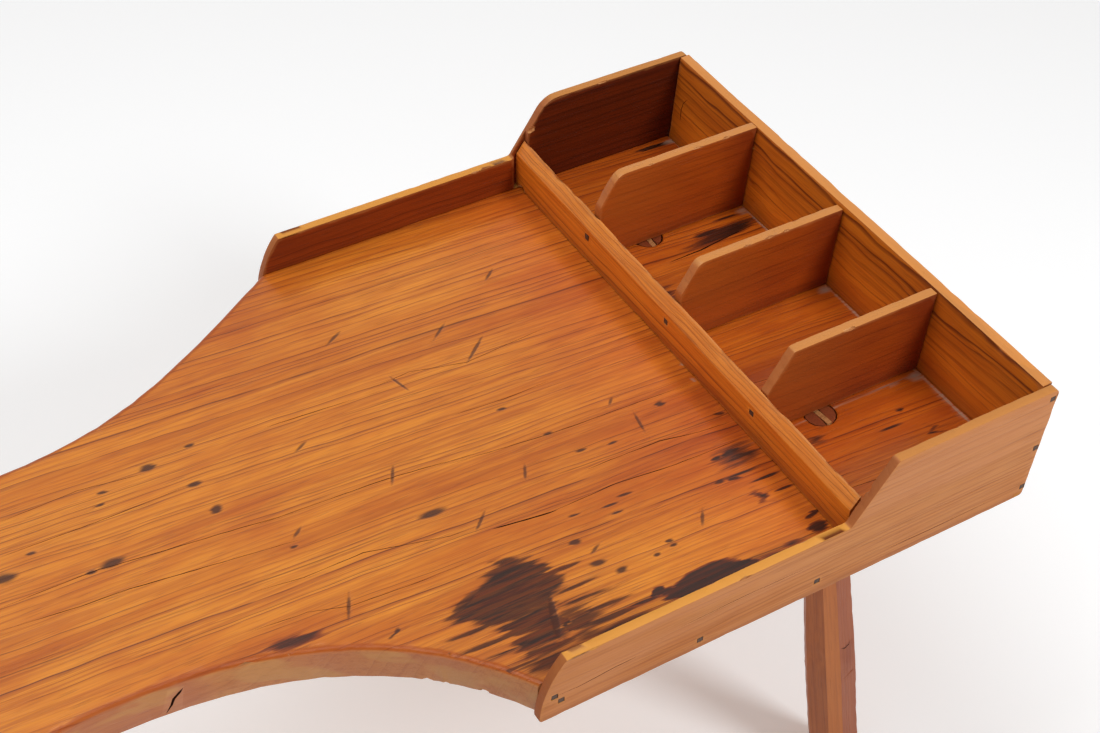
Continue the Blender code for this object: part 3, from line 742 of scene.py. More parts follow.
class Workpiece:
    """A copy of one construction piece, to be cut into, worn and dressed."""

    ARRIS_SPACING = 0.002
    TOP_REACH = 0.003  # how far from the top's height a point still counts as on it
    TOP_TOLERANCE = 0.0005
    LONG_SIDE = 0.004  # a face with a longer side may hide a mark between its corners
    QUAD = 4
    BROAD_SHARE = 0.75
    SMALL_SHARE = 0.9
    PRESS_GAIN = 1.6  # a mark is pressed in fully where its strength times this reaches 1

    def __init__(self, node: str) -> None:
        """Merge the node's loose triangles and join those that lie in one plane.

        Args:
            node: The construction piece's name.
        """
        self.node = node
        self.mesh = bmesh.new()
        self.mesh.from_mesh(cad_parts[node].data)
        bmesh.ops.remove_doubles(self.mesh, verts=self.mesh.verts, dist=MERGE_DISTANCE)
        bmesh.ops.dissolve_limit(self.mesh, angle_limit=FLAT_ANGLE, verts=self.mesh.verts,
                                 edges=self.mesh.edges, use_dissolve_boundaries=False, delimit=set())
        self.low, self.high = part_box(node)
        self.arrises = self._arrises()
        self.uncut = BVHTree.FromBMesh(self.mesh)
        self.cut_slots: list[str] = []
        self.presses: list[tuple] = []

    def _arrises(self) -> KDTree:
        """Sample the sharp edges.

        Returns:
            A tree of points along them.
        """
        points: list[Vector] = []
        for edge in self.mesh.edges:
            if len(edge.link_faces) != 2 or edge.calc_face_angle() < ARRIS_ANGLE:
                continue
            start, end = edge.verts[0].co, edge.verts[1].co
            count = max(1, int((end - start).length / self.ARRIS_SPACING))
            points.extend(start.lerp(end, number / count) for number in range(count + 1))
        tree = KDTree(len(points))
        for index, point in enumerate(points):
            tree.insert(point, index)
        tree.balance()
        return tree

    def cut(self, cutters: list[bpy.types.Object]) -> None:
        """Cut shapes out of the piece; the cut takes the cutter's finish.

        Args:
            cutters: Closed shapes, which are used up.
        """
        body = self._as_object("cutting")
        body.data.materials.append(bpy.data.materials.new("uncut"))
        for cutter in cutters:
            modifier = body.modifiers.new("cut", "BOOLEAN")
            modifier.operation = "DIFFERENCE"
            modifier.solver = "EXACT"
            modifier.use_self = True
            modifier.material_mode = "TRANSFER"
            modifier.object = cutter
        graph = bpy.context.evaluated_depsgraph_get()
        result = bpy.data.meshes.new_from_object(body.evaluated_get(graph))
        self.mesh.free()
        self.mesh = bmesh.new()
        self.mesh.from_mesh(result)
        self.cut_slots = [material.name if material else "" for material in result.materials]
        for thing in [body, *cutters]:
            bpy.data.objects.remove(thing)

    def _as_object(self, name: str) -> bpy.types.Object:
        """Put the mesh into a new object.

        Args:
            name: The object's name.

        Returns:
            The object.
        """
        mesh = bpy.data.meshes.new(name)
        self.mesh.to_mesh(mesh)
        body = bpy.data.objects.new(name, mesh)
        bpy.context.scene.collection.objects.link(body)
        return body

    def slice(self, wear: Wear) -> None:
        """Slice the faces finely, so that they can dip.

        Args:
            wear: How the piece has worn.
        """
        for axis, step in enumerate(wear.slices):
            if step > 0.0:
                self._slice(axis, step)

    def wear(self, wear: Wear, seed: int) -> None:
        """Press the faces in: more along the arrises, under the marks, and a little elsewhere.

        Args:
            wear: How the piece has worn.
            seed: Makes one piece wear unlike the next.
        """
        bmesh.ops.recalc_face_normals(self.mesh, faces=self.mesh.faces)
        self.mesh.normal_update()
        layer = self.mesh.verts.layers.float.new("arris")
        shift = Vector((seed * 3.1, seed * 1.7, seed * 0.9))
        moves: list[Vector] = []
        for vert in self.mesh.verts:
            _, _, distance = self.arrises.find(vert.co)
            vert[layer] = distance
            near = math.exp(-(distance / wear.reach) ** 2)
            broad = 0.5 + 0.5 * noise.noise(vert.co * wear.broad + shift)
            small = max(0.0, noise.noise(vert.co * wear.small + shift))
            dip = 0.5 + 0.5 * noise.noise(vert.co * wear.dips - shift)
            lost = self.BROAD_SHARE * broad * broad + self.SMALL_SHARE * small
            depth = wear.rub * near * lost + wear.sway * dip
            inward = vert.normal
            if any(face.material_index for face in vert.link_faces):
                inward = self.uncut.find_nearest(vert.co)[1]
            move = inward * -min(depth, wear.rub + wear.sway)
            for press, deepest in self.presses:
                move.z -= deepest * min(1.0, self.PRESS_GAIN * vert[press]) ** 2
            moves.append(move)
        for vert, move in zip(self.mesh.verts, moves):
            vert.co += move

    def mark(self, mark_sets: tuple[MarkSet, ...], top: float) -> None:
        """Refine the top around marks and write their strength to the points there.

        Args:
            mark_sets: The marks.
            top: Height of the face that carries them.
        """
        everything = [mark for marks in mark_sets for mark in marks.marks]
        self._refine(everything, top)
        self._refine([mark for marks in mark_sets if marks.fine for mark in marks.marks], top)
        layers = [self.mesh.verts.layers.float.new(marks.name) for marks in mark_sets]
        points = [vert for vert in self.mesh.verts if abs(vert.co.z - top) < self.TOP_REACH]
        tree = KDTree(len(points))
        for index, vert in enumerate(points):
            tree.insert(vert.co, index)
        tree.balance()
        for layer, marks in zip(layers, mark_sets):
            for mark in marks.marks:
                for place, index, _ in tree.find_range(Vector((*mark.middle(), top)), mark.reach()):
                    before, value = points[index][layer], mark.field(marks.streaked(place))
                    points[index][layer] = max(before, value) if value > 0.0 else max(0.0, before + value)
        self.presses = [(layer, marks.depth) for layer, marks in zip(layers, mark_sets)]

    def _refine(self, marks: list[Mark | Patch], top: float) -> None:
        """Split the faces under marks into nine each, once those with many corners are triangles.

        Args:
            marks: The marks.
            top: Height of the face that carries them.
        """
        for again in (True, False):
            faces = [face for face in self.mesh.faces if face.material_index == 0
                     and abs(face.calc_center_median().z - top) < self.TOP_TOLERANCE]
            tree = KDTree(len(faces))
            for index, face in enumerate(faces):
                tree.insert(face.calc_center_median(), index)
            tree.balance()
            near: set[int] = set()
            for mark in marks:
                middle = Vector((*mark.middle(), top))
                for place, index, _ in tree.find_range(middle, mark.reach() + self.LONG_SIDE):
                    longest = max(edge.calc_length() for edge in faces[index].edges)
                    inward = place.lerp(middle, 0.25)
                    if mark.near(place) or (longest > self.LONG_SIDE and mark.near(inward)):
                        near.add(index)
            chosen = [faces[index] for index in sorted(near)]
            if again:
                many = [face for face in chosen if len(face.verts) > self.QUAD]
                bmesh.ops.triangulate(self.mesh, faces=many)
        edges = list({edge for face in chosen for edge in face.edges})
        bmesh.ops.subdivide_edges(self.mesh, edges=edges, cuts=2, use_grid_fill=True)

    def _slice(self, axis: int, step: float) -> None:
        """Slice every face across one axis.

        Args:
            axis: 0, 1 or 2.
            step: Distance between slices.
        """
        normal = Vector((0.0, 0.0, 0.0))
        normal[axis] = 1.0
        count = int((self.high[axis] - self.low[axis]) / step)
        for number in range(1, count + 1):
            place = self.low.copy()
            place[axis] += number * step
            geometry = self.mesh.verts[:] + self.mesh.edges[:] + self.mesh.faces[:]
            bmesh.ops.bisect_plane(self.mesh, geom=geometry, dist=MERGE_DISTANCE, plane_co=place,
                                   plane_no=normal)

    def dress(self, name: str, material: bpy.types.Material) -> bpy.types.Object:
        """Finish the piece and put it in the construction piece's place.

        Args:
            name: The new piece's name.
            material: Its finish.

        Returns:
            The piece.
        """
        for face in self.mesh.faces:
            face.smooth = True
        for edge in self.mesh.edges:
            edge.smooth = edge.calc_face_angle(0.0) < SMOOTH_ANGLE
        piece = self._as_object(name)
        if "custom_normal" in piece.data.attributes:
            piece.data.attributes.remove(piece.data.attributes["custom_normal"])
        piece.data.materials.append(material)
        for label in self.cut_slots[1:]:
            piece.data.materials.append(bpy.data.materials[label])
        self.mesh.free()
        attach(piece, BODY)
        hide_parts(self.node)
        log.info("%s: %d faces", name, len(piece.data.polygons))
        return piece


def new_cutter(mesh: bmesh.types.BMesh, cut: Cut) -> bpy.types.Object:
    """Make a cutter of a mesh.

    Args:
        mesh: One or more closed shapes, which are used up.
        cut: The finish that its cuts take.

    Returns:
        The cutter, hidden.
    """
    bmesh.ops.recalc_face_normals(mesh, faces=mesh.faces)
    data = bpy.data.meshes.new("cutter")
    mesh.to_mesh(data)
    mesh.free()
    data.materials.append(bpy.data.materials[f"{cut.value}_wood"])
    cutter = bpy.data.objects.new("cutter", data)
    cutter.hide_render = True
    bpy.context.scene.collection.objects.link(cutter)
    return cutter


BLADE_STEP = 0.006
BLADE_SWAY = 0.0004  # how far a blade strays from its path
BLADE_OVERRUN = 0.0004  # how far a blade stands out of the face that it cuts
BLADE_TIP = 0.15  # size at the blade's ends, as a share
BLADE_TAPER = 0.4
BLADE_THINNEST = 0.35


def add_groove(mesh: bmesh.types.BMesh, path: list[Vector], width: float, depth: float, seed: int,
               rise: Triple = UP) -> None:
    """Add a thin blade that follows a path and cuts a groove, like a crack, into the face above it.

    Args:
        mesh: The cutter's mesh.
        path: The crack's course along the face.
        width: Its greatest width.
        depth: Its depth.
        seed: Makes each crack's course its own.
        rise: Direction that the face looks in.
    """
    rise = Vector(rise).normalized()
    stations: list[Vector] = []
    for start, end in zip(path, path[1:]):
        count = max(1, round((end - start).length / BLADE_STEP))
        stations.extend(start.lerp(end, number / count) for number in range(count))
    stations.append(path[-1])
    section: list[bmesh.types.BMVert] = []
    total = len(stations) - 1
    for index, station in enumerate(stations):
        ahead = stations[min(index + 1, total)] - stations[max(index - 1, 0)]
        side = rise.cross(ahead).normalized()
        sway = BLADE_SWAY * noise.noise(station * 90.0 + Vector((seed, 0.0, 0.0)))
        inner = 0 < index < total
        taper = max(BLADE_TIP, math.sin(math.pi * index / total) ** BLADE_TAPER if inner else 0.0)
        swell = 0.7 + 0.5 * noise.noise(station * 60.0 + Vector((0.0, seed, 0.0)))
        half = 0.5 * width * taper * max(BLADE_THINNEST, swell)
        centre = station + side * sway
        out = rise * BLADE_OVERRUN
        places = [centre + side * half + out, centre - side * half + out, centre - rise * depth * taper]
        ring = [mesh.verts.new(place) for place in places]
        if section:
            for number in range(3):
                follow = (number + 1) % 3
                mesh.faces.new((section[number], section[follow], ring[follow], ring[number]))
        else:
            mesh.faces.new(ring)
        section = ring
    mesh.faces.new(list(reversed(section)))


@dataclass(frozen=True)
class Chip:
    """A place where a splinter has broken off an arris.

    Attributes:
        place: Its middle.
        size: Its half sizes along X, Y and Z.
    """

    place: Triple
    size: Triple

    RAGGED = 0.45
    SPIKES = 1.9

    def add(self, mesh: bmesh.types.BMesh) -> None:
        """Add the broken shape to a cutter's mesh.

        Args:
            mesh: The cutter's mesh.
        """
        middle = Vector(self.place)
        made = bmesh.ops.create_icosphere(mesh, subdivisions=2, radius=1.0)
        for vert in made["verts"]:
            swell = 1.0 + self.RAGGED * noise.noise(vert.co * self.SPIKES + middle * 150.0)
            vert.co = middle + vert.co * swell * Vector(self.size)


def chips(places: list[Chip] | tuple[Chip, ...], cut: Cut = Cut.BARE) -> bpy.types.Object:
    """Return one cutter for several chips.

    Args:
        places: The chips.
        cut: The finish they show.

    Returns:
        The cutter.
    """
    mesh = bmesh.new()
    for chip in places:
        chip.add(mesh)
    return new_cutter(mesh, cut)


def crack_blades(grooves: list[tuple]) -> bpy.types.Object:
    """Make one cutter for several cracks.

    Args:
        grooves: Each crack's path, width, depth and seed, and where its face looks, if not up.

    Returns:
        The cutter.
    """
    mesh = bmesh.new()
    for path, *rest in grooves:
        add_groove(mesh, [Vector(place) for place in path], *rest)
    return new_cutter(mesh, Cut.CRACK)


@dataclass(frozen=True)
class PlankPine:
    """The plank's finish: varnished honey-orange pine under its burn, stains, scars and dust.

    Attributes:
        seed: Chooses the run of the grain.
        gloss: How it shines.
        waist: Where the paler top of the waist ends, from one place to another along the bench. That paler
            top is partly polish from wear and partly painted sheen.
        work_end: Where the top turns redder.
        under_rail: Where it turns back a little.
    """

    seed: float = 1.0
    gloss: Gloss = Gloss(coat=0.17, shine=0.2, relief=0.00025)
    waist: tuple[float, float] = (-0.08, 0.12)
    work_end: tuple[float, float] = (0.20, 0.36)
    under_rail: tuple[float, float] = (0.36, 0.37)

    HONEY = Wood(tone(220, 138, 44), tone(192, 103, 30), tone(160, 79, 30), tone(74, 34, 16),
                 spacing=0.0062, drift=PLANK_DRIFT, wander=0.020, line_strength=0.72, fibre_strength=0.45,
                 blotch_strength=1.0)
    EDGE = Wood(tone(206, 140, 84), tone(194, 120, 66), tone(164, 88, 46), tone(146, 76, 36),
                drift=PLANK_DRIFT, wander=0.018, line_strength=0.2, fibre_strength=0.4)
    BAND = tone(212, 158, 108)
    PINKISH = tone(180, 106, 80)
    TAN = tone(206, 150, 88)
    DIM_PAST_SHEEN_AND_POLISH = tone(246, 238, 232)
    RED_SHADE = tone(236, 140, 40)
    TRAY_SHADE = tone(255, 212, 96)
    RUBBED = tone(156, 68, 6)
    SCORCHED = tone(140, 62, 22)
    CHARRED = (tone(34, 25, 22), tone(72, 32, 20))
    STAIN = tone(130, 58, 20)
    SOOT = (tone(34, 22, 18), tone(70, 30, 16))
    SMALL_MARKS = (
        ("scar", 0.22, 0.5, 0.9, tone(56, 24, 14)),
        ("stroke", 0.2, 0.4, 0.75, tone(60, 27, 14)),
        ("dust", 0.35, 0.9, 0.75, tone(176, 150, 130)),
    )

    def make(self) -> bpy.types.Material:
        """Make the material.

        Returns:
            The material.
        """
        surface = Surface("plank_pine", Grain())
        graph = surface.graph
        face = self.HONEY.draw(graph, surface.grained, self.seed)
        bands = graph.step(graph.stretched(surface.grained, 0.9, 24.0), 0.44, 0.60)
        top = graph.tint(face.outputs["Color"], bands, 0.36, self.BAND, "MULTIPLY")
        upward = surface.facing(UP, 0.35, 0.8)
        colour = self._shade(surface, graph.mix(upward, self._edge(surface), top), upward)
        arris = graph.times(surface.rubbed(0.0028, 0.9), graph.line(upward, 0.55, 0.2))
        colour = graph.mix(arris, colour, self.RUBBED)
        streaks = graph.stretched(surface.grained, 26.0, 420.0, 3.0)
        burn = surface.marked("burn", 0.16, 1.0, streaks)
        colour = self._mark(surface, colour, burn, streaks)
        rough = graph.plus(graph.line(face.outputs["Blotch"], 0.1, 0.32), graph.times(burn, 0.12))
        left = graph.times(graph.invert(burn), graph.line(arris, -0.8, 1.0))
        return surface.close(colour, face.outputs["Height"], rough, self.gloss, left)

    def _edge(self, surface: Surface) -> Socket:
        """Draw the worn edge, pinkish and tan in patches.

        Args:
            surface: The material in the making.

        Returns:
            The edge's colour.
        """
        graph = surface.graph
        colour = self.EDGE.draw(graph, surface.grained, self.seed).outputs["Color"]
        pinkish = graph.step(graph.noise(surface.place, (7.0, 7.0, 7.0)), 0.44, 0.60)
        tan = graph.step(graph.noise(surface.place, (19.0, 19.0, 50.0)), 0.52, 0.64)
        return graph.tint(graph.tint(colour, pinkish, 0.5, self.PINKISH), tan, 0.6, self.TAN)

    def _shade(self, surface: Surface, colour: Socket, upward: Socket) -> Socket:
        """Tint the wood from the waist to the tray: the top past the waist is dimmed, so the seat and waist
        keep a paler top that is partly wear-polish and partly painted sheen.

        Args:
            surface: The material in the making.
            colour: The wood's colour.
            upward: Where the surface looks up.

        Returns:
            The shaded colour.
        """
        graph = surface.graph
        along, _, _ = graph.axes(surface.place)
        # Painted sheen, partly polish from wear: the top past the waist is dimmed, so the seat and waist
        # stay paler.
        past_sheen_and_polish = graph.times(graph.step(along, *self.waist), upward)
        colour = graph.tint(colour, past_sheen_and_polish, 0.7, self.DIM_PAST_SHEEN_AND_POLISH, "MULTIPLY")
        behind = graph.times(graph.step(along, *self.under_rail), 0.4)
        redder = graph.minus(graph.step(along, *self.work_end), behind)
        colour = graph.tint(colour, redder, 0.36, self.RED_SHADE, "MULTIPLY")
        rail_low, rail_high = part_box("tray_front_rail")
        inside = graph.step(along, rail_low.x, rail_high.x)
        return graph.tint(colour, inside, 0.4, self.TRAY_SHADE, "MULTIPLY")

    def _mark(self, surface: Surface, colour: Socket, burn: Socket, streaks: Socket) -> Socket:
        """Lay the burn, the stains, the scars, the scratches and the dust over the wood.

        Args:
            surface: The material in the making.
            colour: The wood's colour.
            burn: Where the wood is burnt.
            streaks: Streaky noise around one half.

        Returns:
            The marked colour.
        """
        graph = surface.graph
        embers = graph.step(graph.stretched(surface.grained, 12.0, 300.0, 3.0), 0.40, 0.66)
        halo = surface.marked("burn", 0.36, 0.8, streaks)
        colour = graph.tint(colour, halo, 0.7, self.SCORCHED)
        thick = graph.line(graph.step(streaks, 0.35, 0.6), -0.22, 0.98)
        colour = graph.tint(colour, burn, thick, graph.mix(embers, *self.CHARRED))
        stain = surface.marked("stain", 0.2, 0.6, streaks)
        colour = graph.mix(graph.step(stain, 0.0, 0.5), colour, self.STAIN)
        colour = graph.tint(colour, graph.step(stain, 0.4, 1.0), 0.9, graph.mix(embers, *self.SOOT))
        for name, soft, rag, share, target in self.SMALL_MARKS:
            colour = graph.tint(colour, surface.marked(name, soft, rag, streaks), share, target)
        return colour


@dataclass
class Plank:
    """The long waisted plank, with its cracks, chips, burn, stains and dents.

    Attributes:
        top: Height of its top.
        crack_width: Width of a crack of share 1.
        crack_depth: Depth of a crack of share 1.
        ring_width: Width of the split around the near tenon.
        ring_depth: Depth of that split.
        knot_width: Width of the crack in the waist's edge.
        knot_depth: Depth of that crack.
        wear: How the plank has worn.
        seed: Makes it wear in its own way.
    """

    top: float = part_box("plank")[1].z
    crack_width: float = 0.0010
    crack_depth: float = 0.0012
    ring_width: float = 0.0016
    ring_depth: float = 0.004
    knot_width: float = 0.0036
    knot_depth: float = 0.0035
    wear: Wear = Wear(rub=0.0008, reach=0.004, sway=0.00035, slices=(0.008, 0.008, 0.0))
    seed: int = 3

    # The places that the photograph shows were picked in it by hand, and a scratch script carried them
    # onto the plank through the fitted camera. Those that it doesn't show, as on the seat, are made up.
    CRACKS = (
        (1.0, ((-0.021, -0.015), (0.092, -0.021), (0.172, -0.0325))),
        (1.0, ((-0.047, -0.074), (-0.006, -0.080), (0.042, -0.080), (0.106, -0.0975), (0.127, -0.099))),
        (2.4, ((0.137, -0.107), (0.163, -0.1112), (0.189, -0.1146))),
        (1.2, ((0.180, -0.1140), (0.242, -0.113), (0.295, -0.119), (0.3585, -0.121))),
        (1.0, ((-0.061, -0.107), (-0.018, -0.111), (0.011, -0.121), (0.057, -0.125), (0.107, -0.127))),
        (1.1, ((0.141, -0.031), (0.206, -0.039), (0.246, -0.0425), (0.309, -0.0456), (0.356, -0.049))),
        (0.9, ((0.166, 0.0156), (0.213, 0.0115), (0.258, 0.012))),
        (1.2, ((0.229, -0.089), (0.269, -0.090), (0.298, -0.091), (0.329, -0.098), (0.3585, -0.101))),
        (0.9, ((0.032, 0.077), (0.110, 0.071))),
        (0.9, ((0.123, 0.076), (0.161, 0.078), (0.2075, 0.065), (0.291, 0.070))),
        (1.0, ((-0.182, 0.083), (-0.1215, 0.085), (-0.069, 0.077))),
        (0.9, ((-0.193, 0.049), (-0.120, 0.047), (-0.046, 0.048))),
        (1.1, ((-0.209, 0.002), (-0.136, 0.002), (-0.097, -0.0035), (-0.043, -0.010), (0.019, -0.0185))),
        (1.1, ((-0.215, -0.018), (-0.158, -0.025), (-0.121, -0.027), (-0.0785, -0.033), (0.007, -0.045))),
        (2.2, ((0.4256, 0.0902), (0.458, 0.091), (0.4988, 0.0955), (0.523, 0.0975))),
        (2.4, ((0.491, 0.239), (0.506, 0.2405), (0.520, 0.243))),
        (1.0, ((0.372, -0.068), (0.430, -0.078), (0.505, -0.082))),
        (1.0, ((0.380, -0.205), (0.440, -0.212), (0.520, -0.219))),
        (1.0, ((-0.430, 0.060), (-0.350, 0.055), (-0.260, 0.052))),
        (0.9, ((-0.470, -0.050), (-0.400, -0.056), (-0.330, -0.055))),
    )
    TENON = (0.4240, -0.1241)
    RING_RADIUS = 0.0141
    RING_ANGLES = range(-100, 30, 10)
    KNOT = ((-0.1195, -0.1239, 0.4225), (-0.1225, -0.1236, 0.4190), (-0.1275, -0.1232, 0.4140),
            (-0.1300, -0.1229, 0.4080), (-0.1345, -0.1225, 0.4010))
    KNOT_OUT = (-0.09, -1.0, 0.0)
    EDGE_CHIPS = (
        Chip((0.0399, -0.1864, 0.398), (0.007, 0.003, 0.0035)),
        Chip((0.0481, -0.1960, 0.398), (0.004, 0.0025, 0.003)),
        Chip((0.0687, -0.2159, 0.398), (0.006, 0.0035, 0.0045)),
        Chip((-0.0200, 0.1480, 0.398), (0.006, 0.003, 0.003)),
        Chip((0.1330, 0.2500, 0.398), (0.004, 0.003, 0.005)),
    )
    STROKES = (
        stroke((0.291, -0.03), (0.284, -0.0365)), stroke((0.192, -0.06), (0.184, -0.075)),
        stroke((0.141, -0.088), (0.126, -0.102), 0.0014), stroke((0.102, -0.01), (0.092, -0.028)),
        stroke((0.0156, -0.11), (0.0048, -0.132)), stroke((0.287, -0.168), (0.277, -0.183)),
        stroke((0.216, 0.118), (0.197, 0.103)), stroke((0.2335, 0.0857), (0.21, 0.066), 0.0014, 1.0),
        stroke((0.145, 0.081), (0.151, 0.059), 0.0013), stroke((0.285, 0.1595), (0.272, 0.149)),
        stroke((0.133, 0.151), (0.116, 0.141)), stroke((0.297, -0.054), (0.293, -0.077)),
        stroke((0.054, 0.047), (0.042, 0.041)), stroke((0.013, -0.033), (0.003, -0.041)),
        stroke((0.2, -0.159), (0.189, -0.165)), stroke((0.074, -0.1635), (0.096, -0.154), 0.0026, 1.2),
        stroke((0.14, -0.189), (0.129, -0.219), 0.0024, 1.2),
    )
    SCARS = (
        Mark(-0.1975, 0.0275, 0.009, 0.0048), Mark(-0.123, 0.003, 0.009, 0.0038),
        Mark(-0.0655, 0.0813, 0.006, 0.0035), Mark(-0.0405, 0.0472, 0.0055, 0.0024),
        Mark(-0.0358, 0.0148, 0.0045, 0.004), Mark(0.105, -0.07, 0.01, 0.0032),
        Mark(0.184, -0.149, 0.0045, 0.0026), Mark(0.1885, -0.175, 0.006, 0.0026),
        Mark(0.2012, -0.1895, 0.005, 0.0026), Mark(0.3146, -0.1514, 0.004, 0.002),
        Mark(0.3565, -0.0888, 0.004, 0.0018), Mark(-0.104, 0.074, 0.004, 0.0016),
        Mark(-0.11, 0.0625, 0.004, 0.0014), Mark(-0.029, 0.088, 0.004, 0.0015),
        Mark(-0.1395, 0.002, 0.004, 0.0018), Mark(-0.172, 0.0415, 0.004, 0.0015),
        Mark(0.237, -0.069, 0.0045, 0.0014), Mark(0.264, -0.074, 0.0045, 0.0014),
        Mark(0.206, 0.0025, 0.004, 0.0015), Mark(0.224, -0.04, 0.004, 0.0015),
        Mark(0.247, -0.183, 0.003, 0.0016), Mark(0.248, -0.188, 0.003, 0.0014),
        Mark(0.232, -0.19, 0.003, 0.0016), Mark(-0.0013, -0.049, 0.0035, 0.0014),
        Mark(0.028, -0.159, 0.005, 0.0016, 35.0), Mark(0.243, -0.126, 0.006, 0.0012),
        Mark(0.228, -0.13, 0.006, 0.0011), Mark(0.228, -0.139, 0.005, 0.0011),
        Mark(0.199, -0.125, 0.005, 0.0012), Mark(0.3216, -0.0553, 0.004, 0.003),
    )
    BURN = (
        Patch(((0.124, -0.1354), (0.1317, -0.1364), (0.1383, -0.1429), (0.1452, -0.1454),
               (0.1546, -0.1542), (0.154, -0.1607), (0.1585, -0.1725), (0.1565, -0.1807),
               (0.1437, -0.1854), (0.1435, -0.1943), (0.1404, -0.2031), (0.1373, -0.2117),
               (0.1362, -0.2186), (0.1419, -0.2271), (0.1206, -0.2298), (0.101, -0.2262),
               (0.0979, -0.2193), (0.096, -0.2101), (0.098, -0.2013), (0.092, -0.1946),
               (0.0868, -0.188), (0.0789, -0.1788), (0.0668, -0.1677), (0.0751, -0.1618),
               (0.0962, -0.1543), (0.1136, -0.1429), (0.1201, -0.1384)), 0.009),
        Mark(0.15, -0.205, 0.04, 0.036, strength=0.5), Mark(0.106, -0.226, 0.034, 0.018, strength=0.5),
        Mark(0.15, -0.216, 0.02, 0.02, strength=0.8), Mark(0.118, -0.236, 0.028, 0.01, strength=0.78),
        Mark(0.094, -0.166, 0.012, 0.006, strength=1.2), Mark(0.137, -0.205, 0.016, 0.0028, -78.0, 1.3),
        Mark(0.078, -0.186, 0.02, 0.0022, strength=0.95),
        Mark(0.079, -0.201, 0.022, 0.002, strength=1.0),
        Mark(0.085, -0.213, 0.02, 0.0014, strength=0.9),
        Mark(0.092, -0.229, 0.024, 0.0016, strength=0.8), Mark(0.163, -0.166, 0.012, 0.002),
        Mark(0.163, -0.186, 0.016, 0.0016, strength=0.85),
        Mark(0.16, -0.198, 0.022, 0.002, strength=0.9),
        Mark(0.166, -0.211, 0.028, 0.0022, strength=0.9),
        Mark(0.166, -0.223, 0.034, 0.0028, strength=0.9),
        Mark(0.172, -0.233, 0.034, 0.003, strength=0.9),
        Mark(0.127, -0.189, 0.009, 0.0024, strength=-0.5),
        Mark(0.106, -0.2065, 0.014, 0.0014, strength=-0.7),
        Mark(0.118, -0.221, 0.02, 0.0016, strength=-0.6),
        Mark(0.102, -0.1905, 0.014, 0.0014, strength=-0.6),
        Mark(0.104, -0.1985, 0.012, 0.001, strength=-0.5),
        Mark(0.12, -0.212, 0.014, 0.001, strength=-0.5),
    )
    STAINS = (
        Patch(((0.2215, -0.2245), (0.2386, -0.217), (0.263, -0.216), (0.274, -0.219), (0.2858, -0.2257),
               (0.29, -0.234), (0.265, -0.235), (0.24, -0.235), (0.224, -0.235),
               (0.216, -0.23)), 0.006),
        Mark(0.219, -0.2235, 0.01, 0.003), Mark(0.342, -0.134, 0.026, 0.02, strength=0.62),
        Mark(0.2125, -0.22, 0.0045, 0.003, strength=1.3),
        Mark(0.2, -0.2235, 0.014, 0.0016, strength=0.9),
        Mark(0.305, -0.2335, 0.024, 0.004, strength=0.68),
        Mark(0.34, -0.129, 0.01, 0.004, strength=0.9), Mark(0.349, -0.138, 0.014, 0.008, strength=0.64),
        Mark(0.326, -0.129, 0.006, 0.002, strength=0.9), Mark(0.334, -0.18, 0.006, 0.012, 20.0, 0.7),
        Mark(0.357, -0.214, 0.005, 0.003), Mark(0.354, -0.227, 0.008, 0.005),
        Mark(0.326, -0.231, 0.012, 0.003, strength=0.7), Mark(0.35, -0.165, 0.014, 0.0014),
        Mark(0.355, -0.1815, 0.01, 0.0014), Mark(0.337, -0.152, 0.02, 0.0016, strength=0.85),
        Mark(0.325, -0.154, 0.005, 0.0022), Mark(-0.036, -0.1305, 0.02, 0.0045),
        Mark(-0.036, -0.132, 0.027, 0.0075, strength=0.62), Mark(0.49, 0.101, 0.036, 0.007, 3.0, 1.0),
        Mark(0.475, 0.108, 0.014, 0.003, strength=0.9), Mark(0.505, 0.241, 0.016, 0.0026),
        Mark(0.502, 0.118, 0.014, 0.0018, strength=0.8), Mark(0.47, -0.17, 0.014, 0.0024, strength=0.7),
        Mark(0.4862, -0.158, 0.005, 0.0024, strength=0.8),
        Mark(0.405, -0.15, 0.012, 0.01, strength=0.62), Mark(0.395, 0.052, 0.016, 0.016, strength=0.7),
        Mark(0.385, -0.1, 0.01, 0.01, strength=0.7), Mark(0.497, -0.19, 0.006, 0.012, 20.0, 0.65),
    )
    DUST = (
        Mark(0.527, -0.185, 0.06, 0.0016, 90.0, 0.9), Mark(0.527, -0.06, 0.055, 0.0014, 90.0, 0.85),
        Mark(0.527, 0.065, 0.055, 0.0014, 90.0, 0.8), Mark(0.527, 0.19, 0.055, 0.0014, 90.0, 0.7),
        Mark(0.523, -0.133, 0.006, 0.004, 0.0, 0.9), Mark(0.523, -0.007, 0.006, 0.004, 0.0, 0.9),
        Mark(0.523, 0.119, 0.006, 0.004, 0.0, 0.8), Mark(0.45, -0.1295, 0.07, 0.0012, 0.0, 0.65),
        Mark(0.3635, -0.0266, 0.002, 0.0012, 0.0, 1.2), Mark(0.36, -0.0458, 0.002, 0.0016, 0.0, 1.2),
        Mark(0.423, 0.128, 0.01, 0.003, 10.0, 0.5), Mark(0.525, 0.241, 0.008, 0.0035, 0.0, 0.8),
        Mark(0.133, 0.146, 0.045, 0.009, 20.0, 0.16),
    )

    def build(self) -> None:
        """Cut the cracks and edge chips, press in the marks, wear the plank and dress it."""
        work = Workpiece("plank")
        work.cut([crack_blades(self._grooves()), chips(self.EDGE_CHIPS)])
        work.slice(self.wear)
        work.mark((
            MarkSet("burn", self.BURN, depth=0.00025, rag=0.008),
            MarkSet("stain", self.STAINS, rag=0.009),
            MarkSet("scar", self.SCARS, depth=0.0003, rag=0.0035),
            MarkSet("stroke", self.STROKES, depth=0.0005),
            MarkSet("dust", self.DUST, fine=False),
        ), self.top)
        work.wear(self.wear, self.seed)
        work.dress("worn_plank", PlankPine().make())

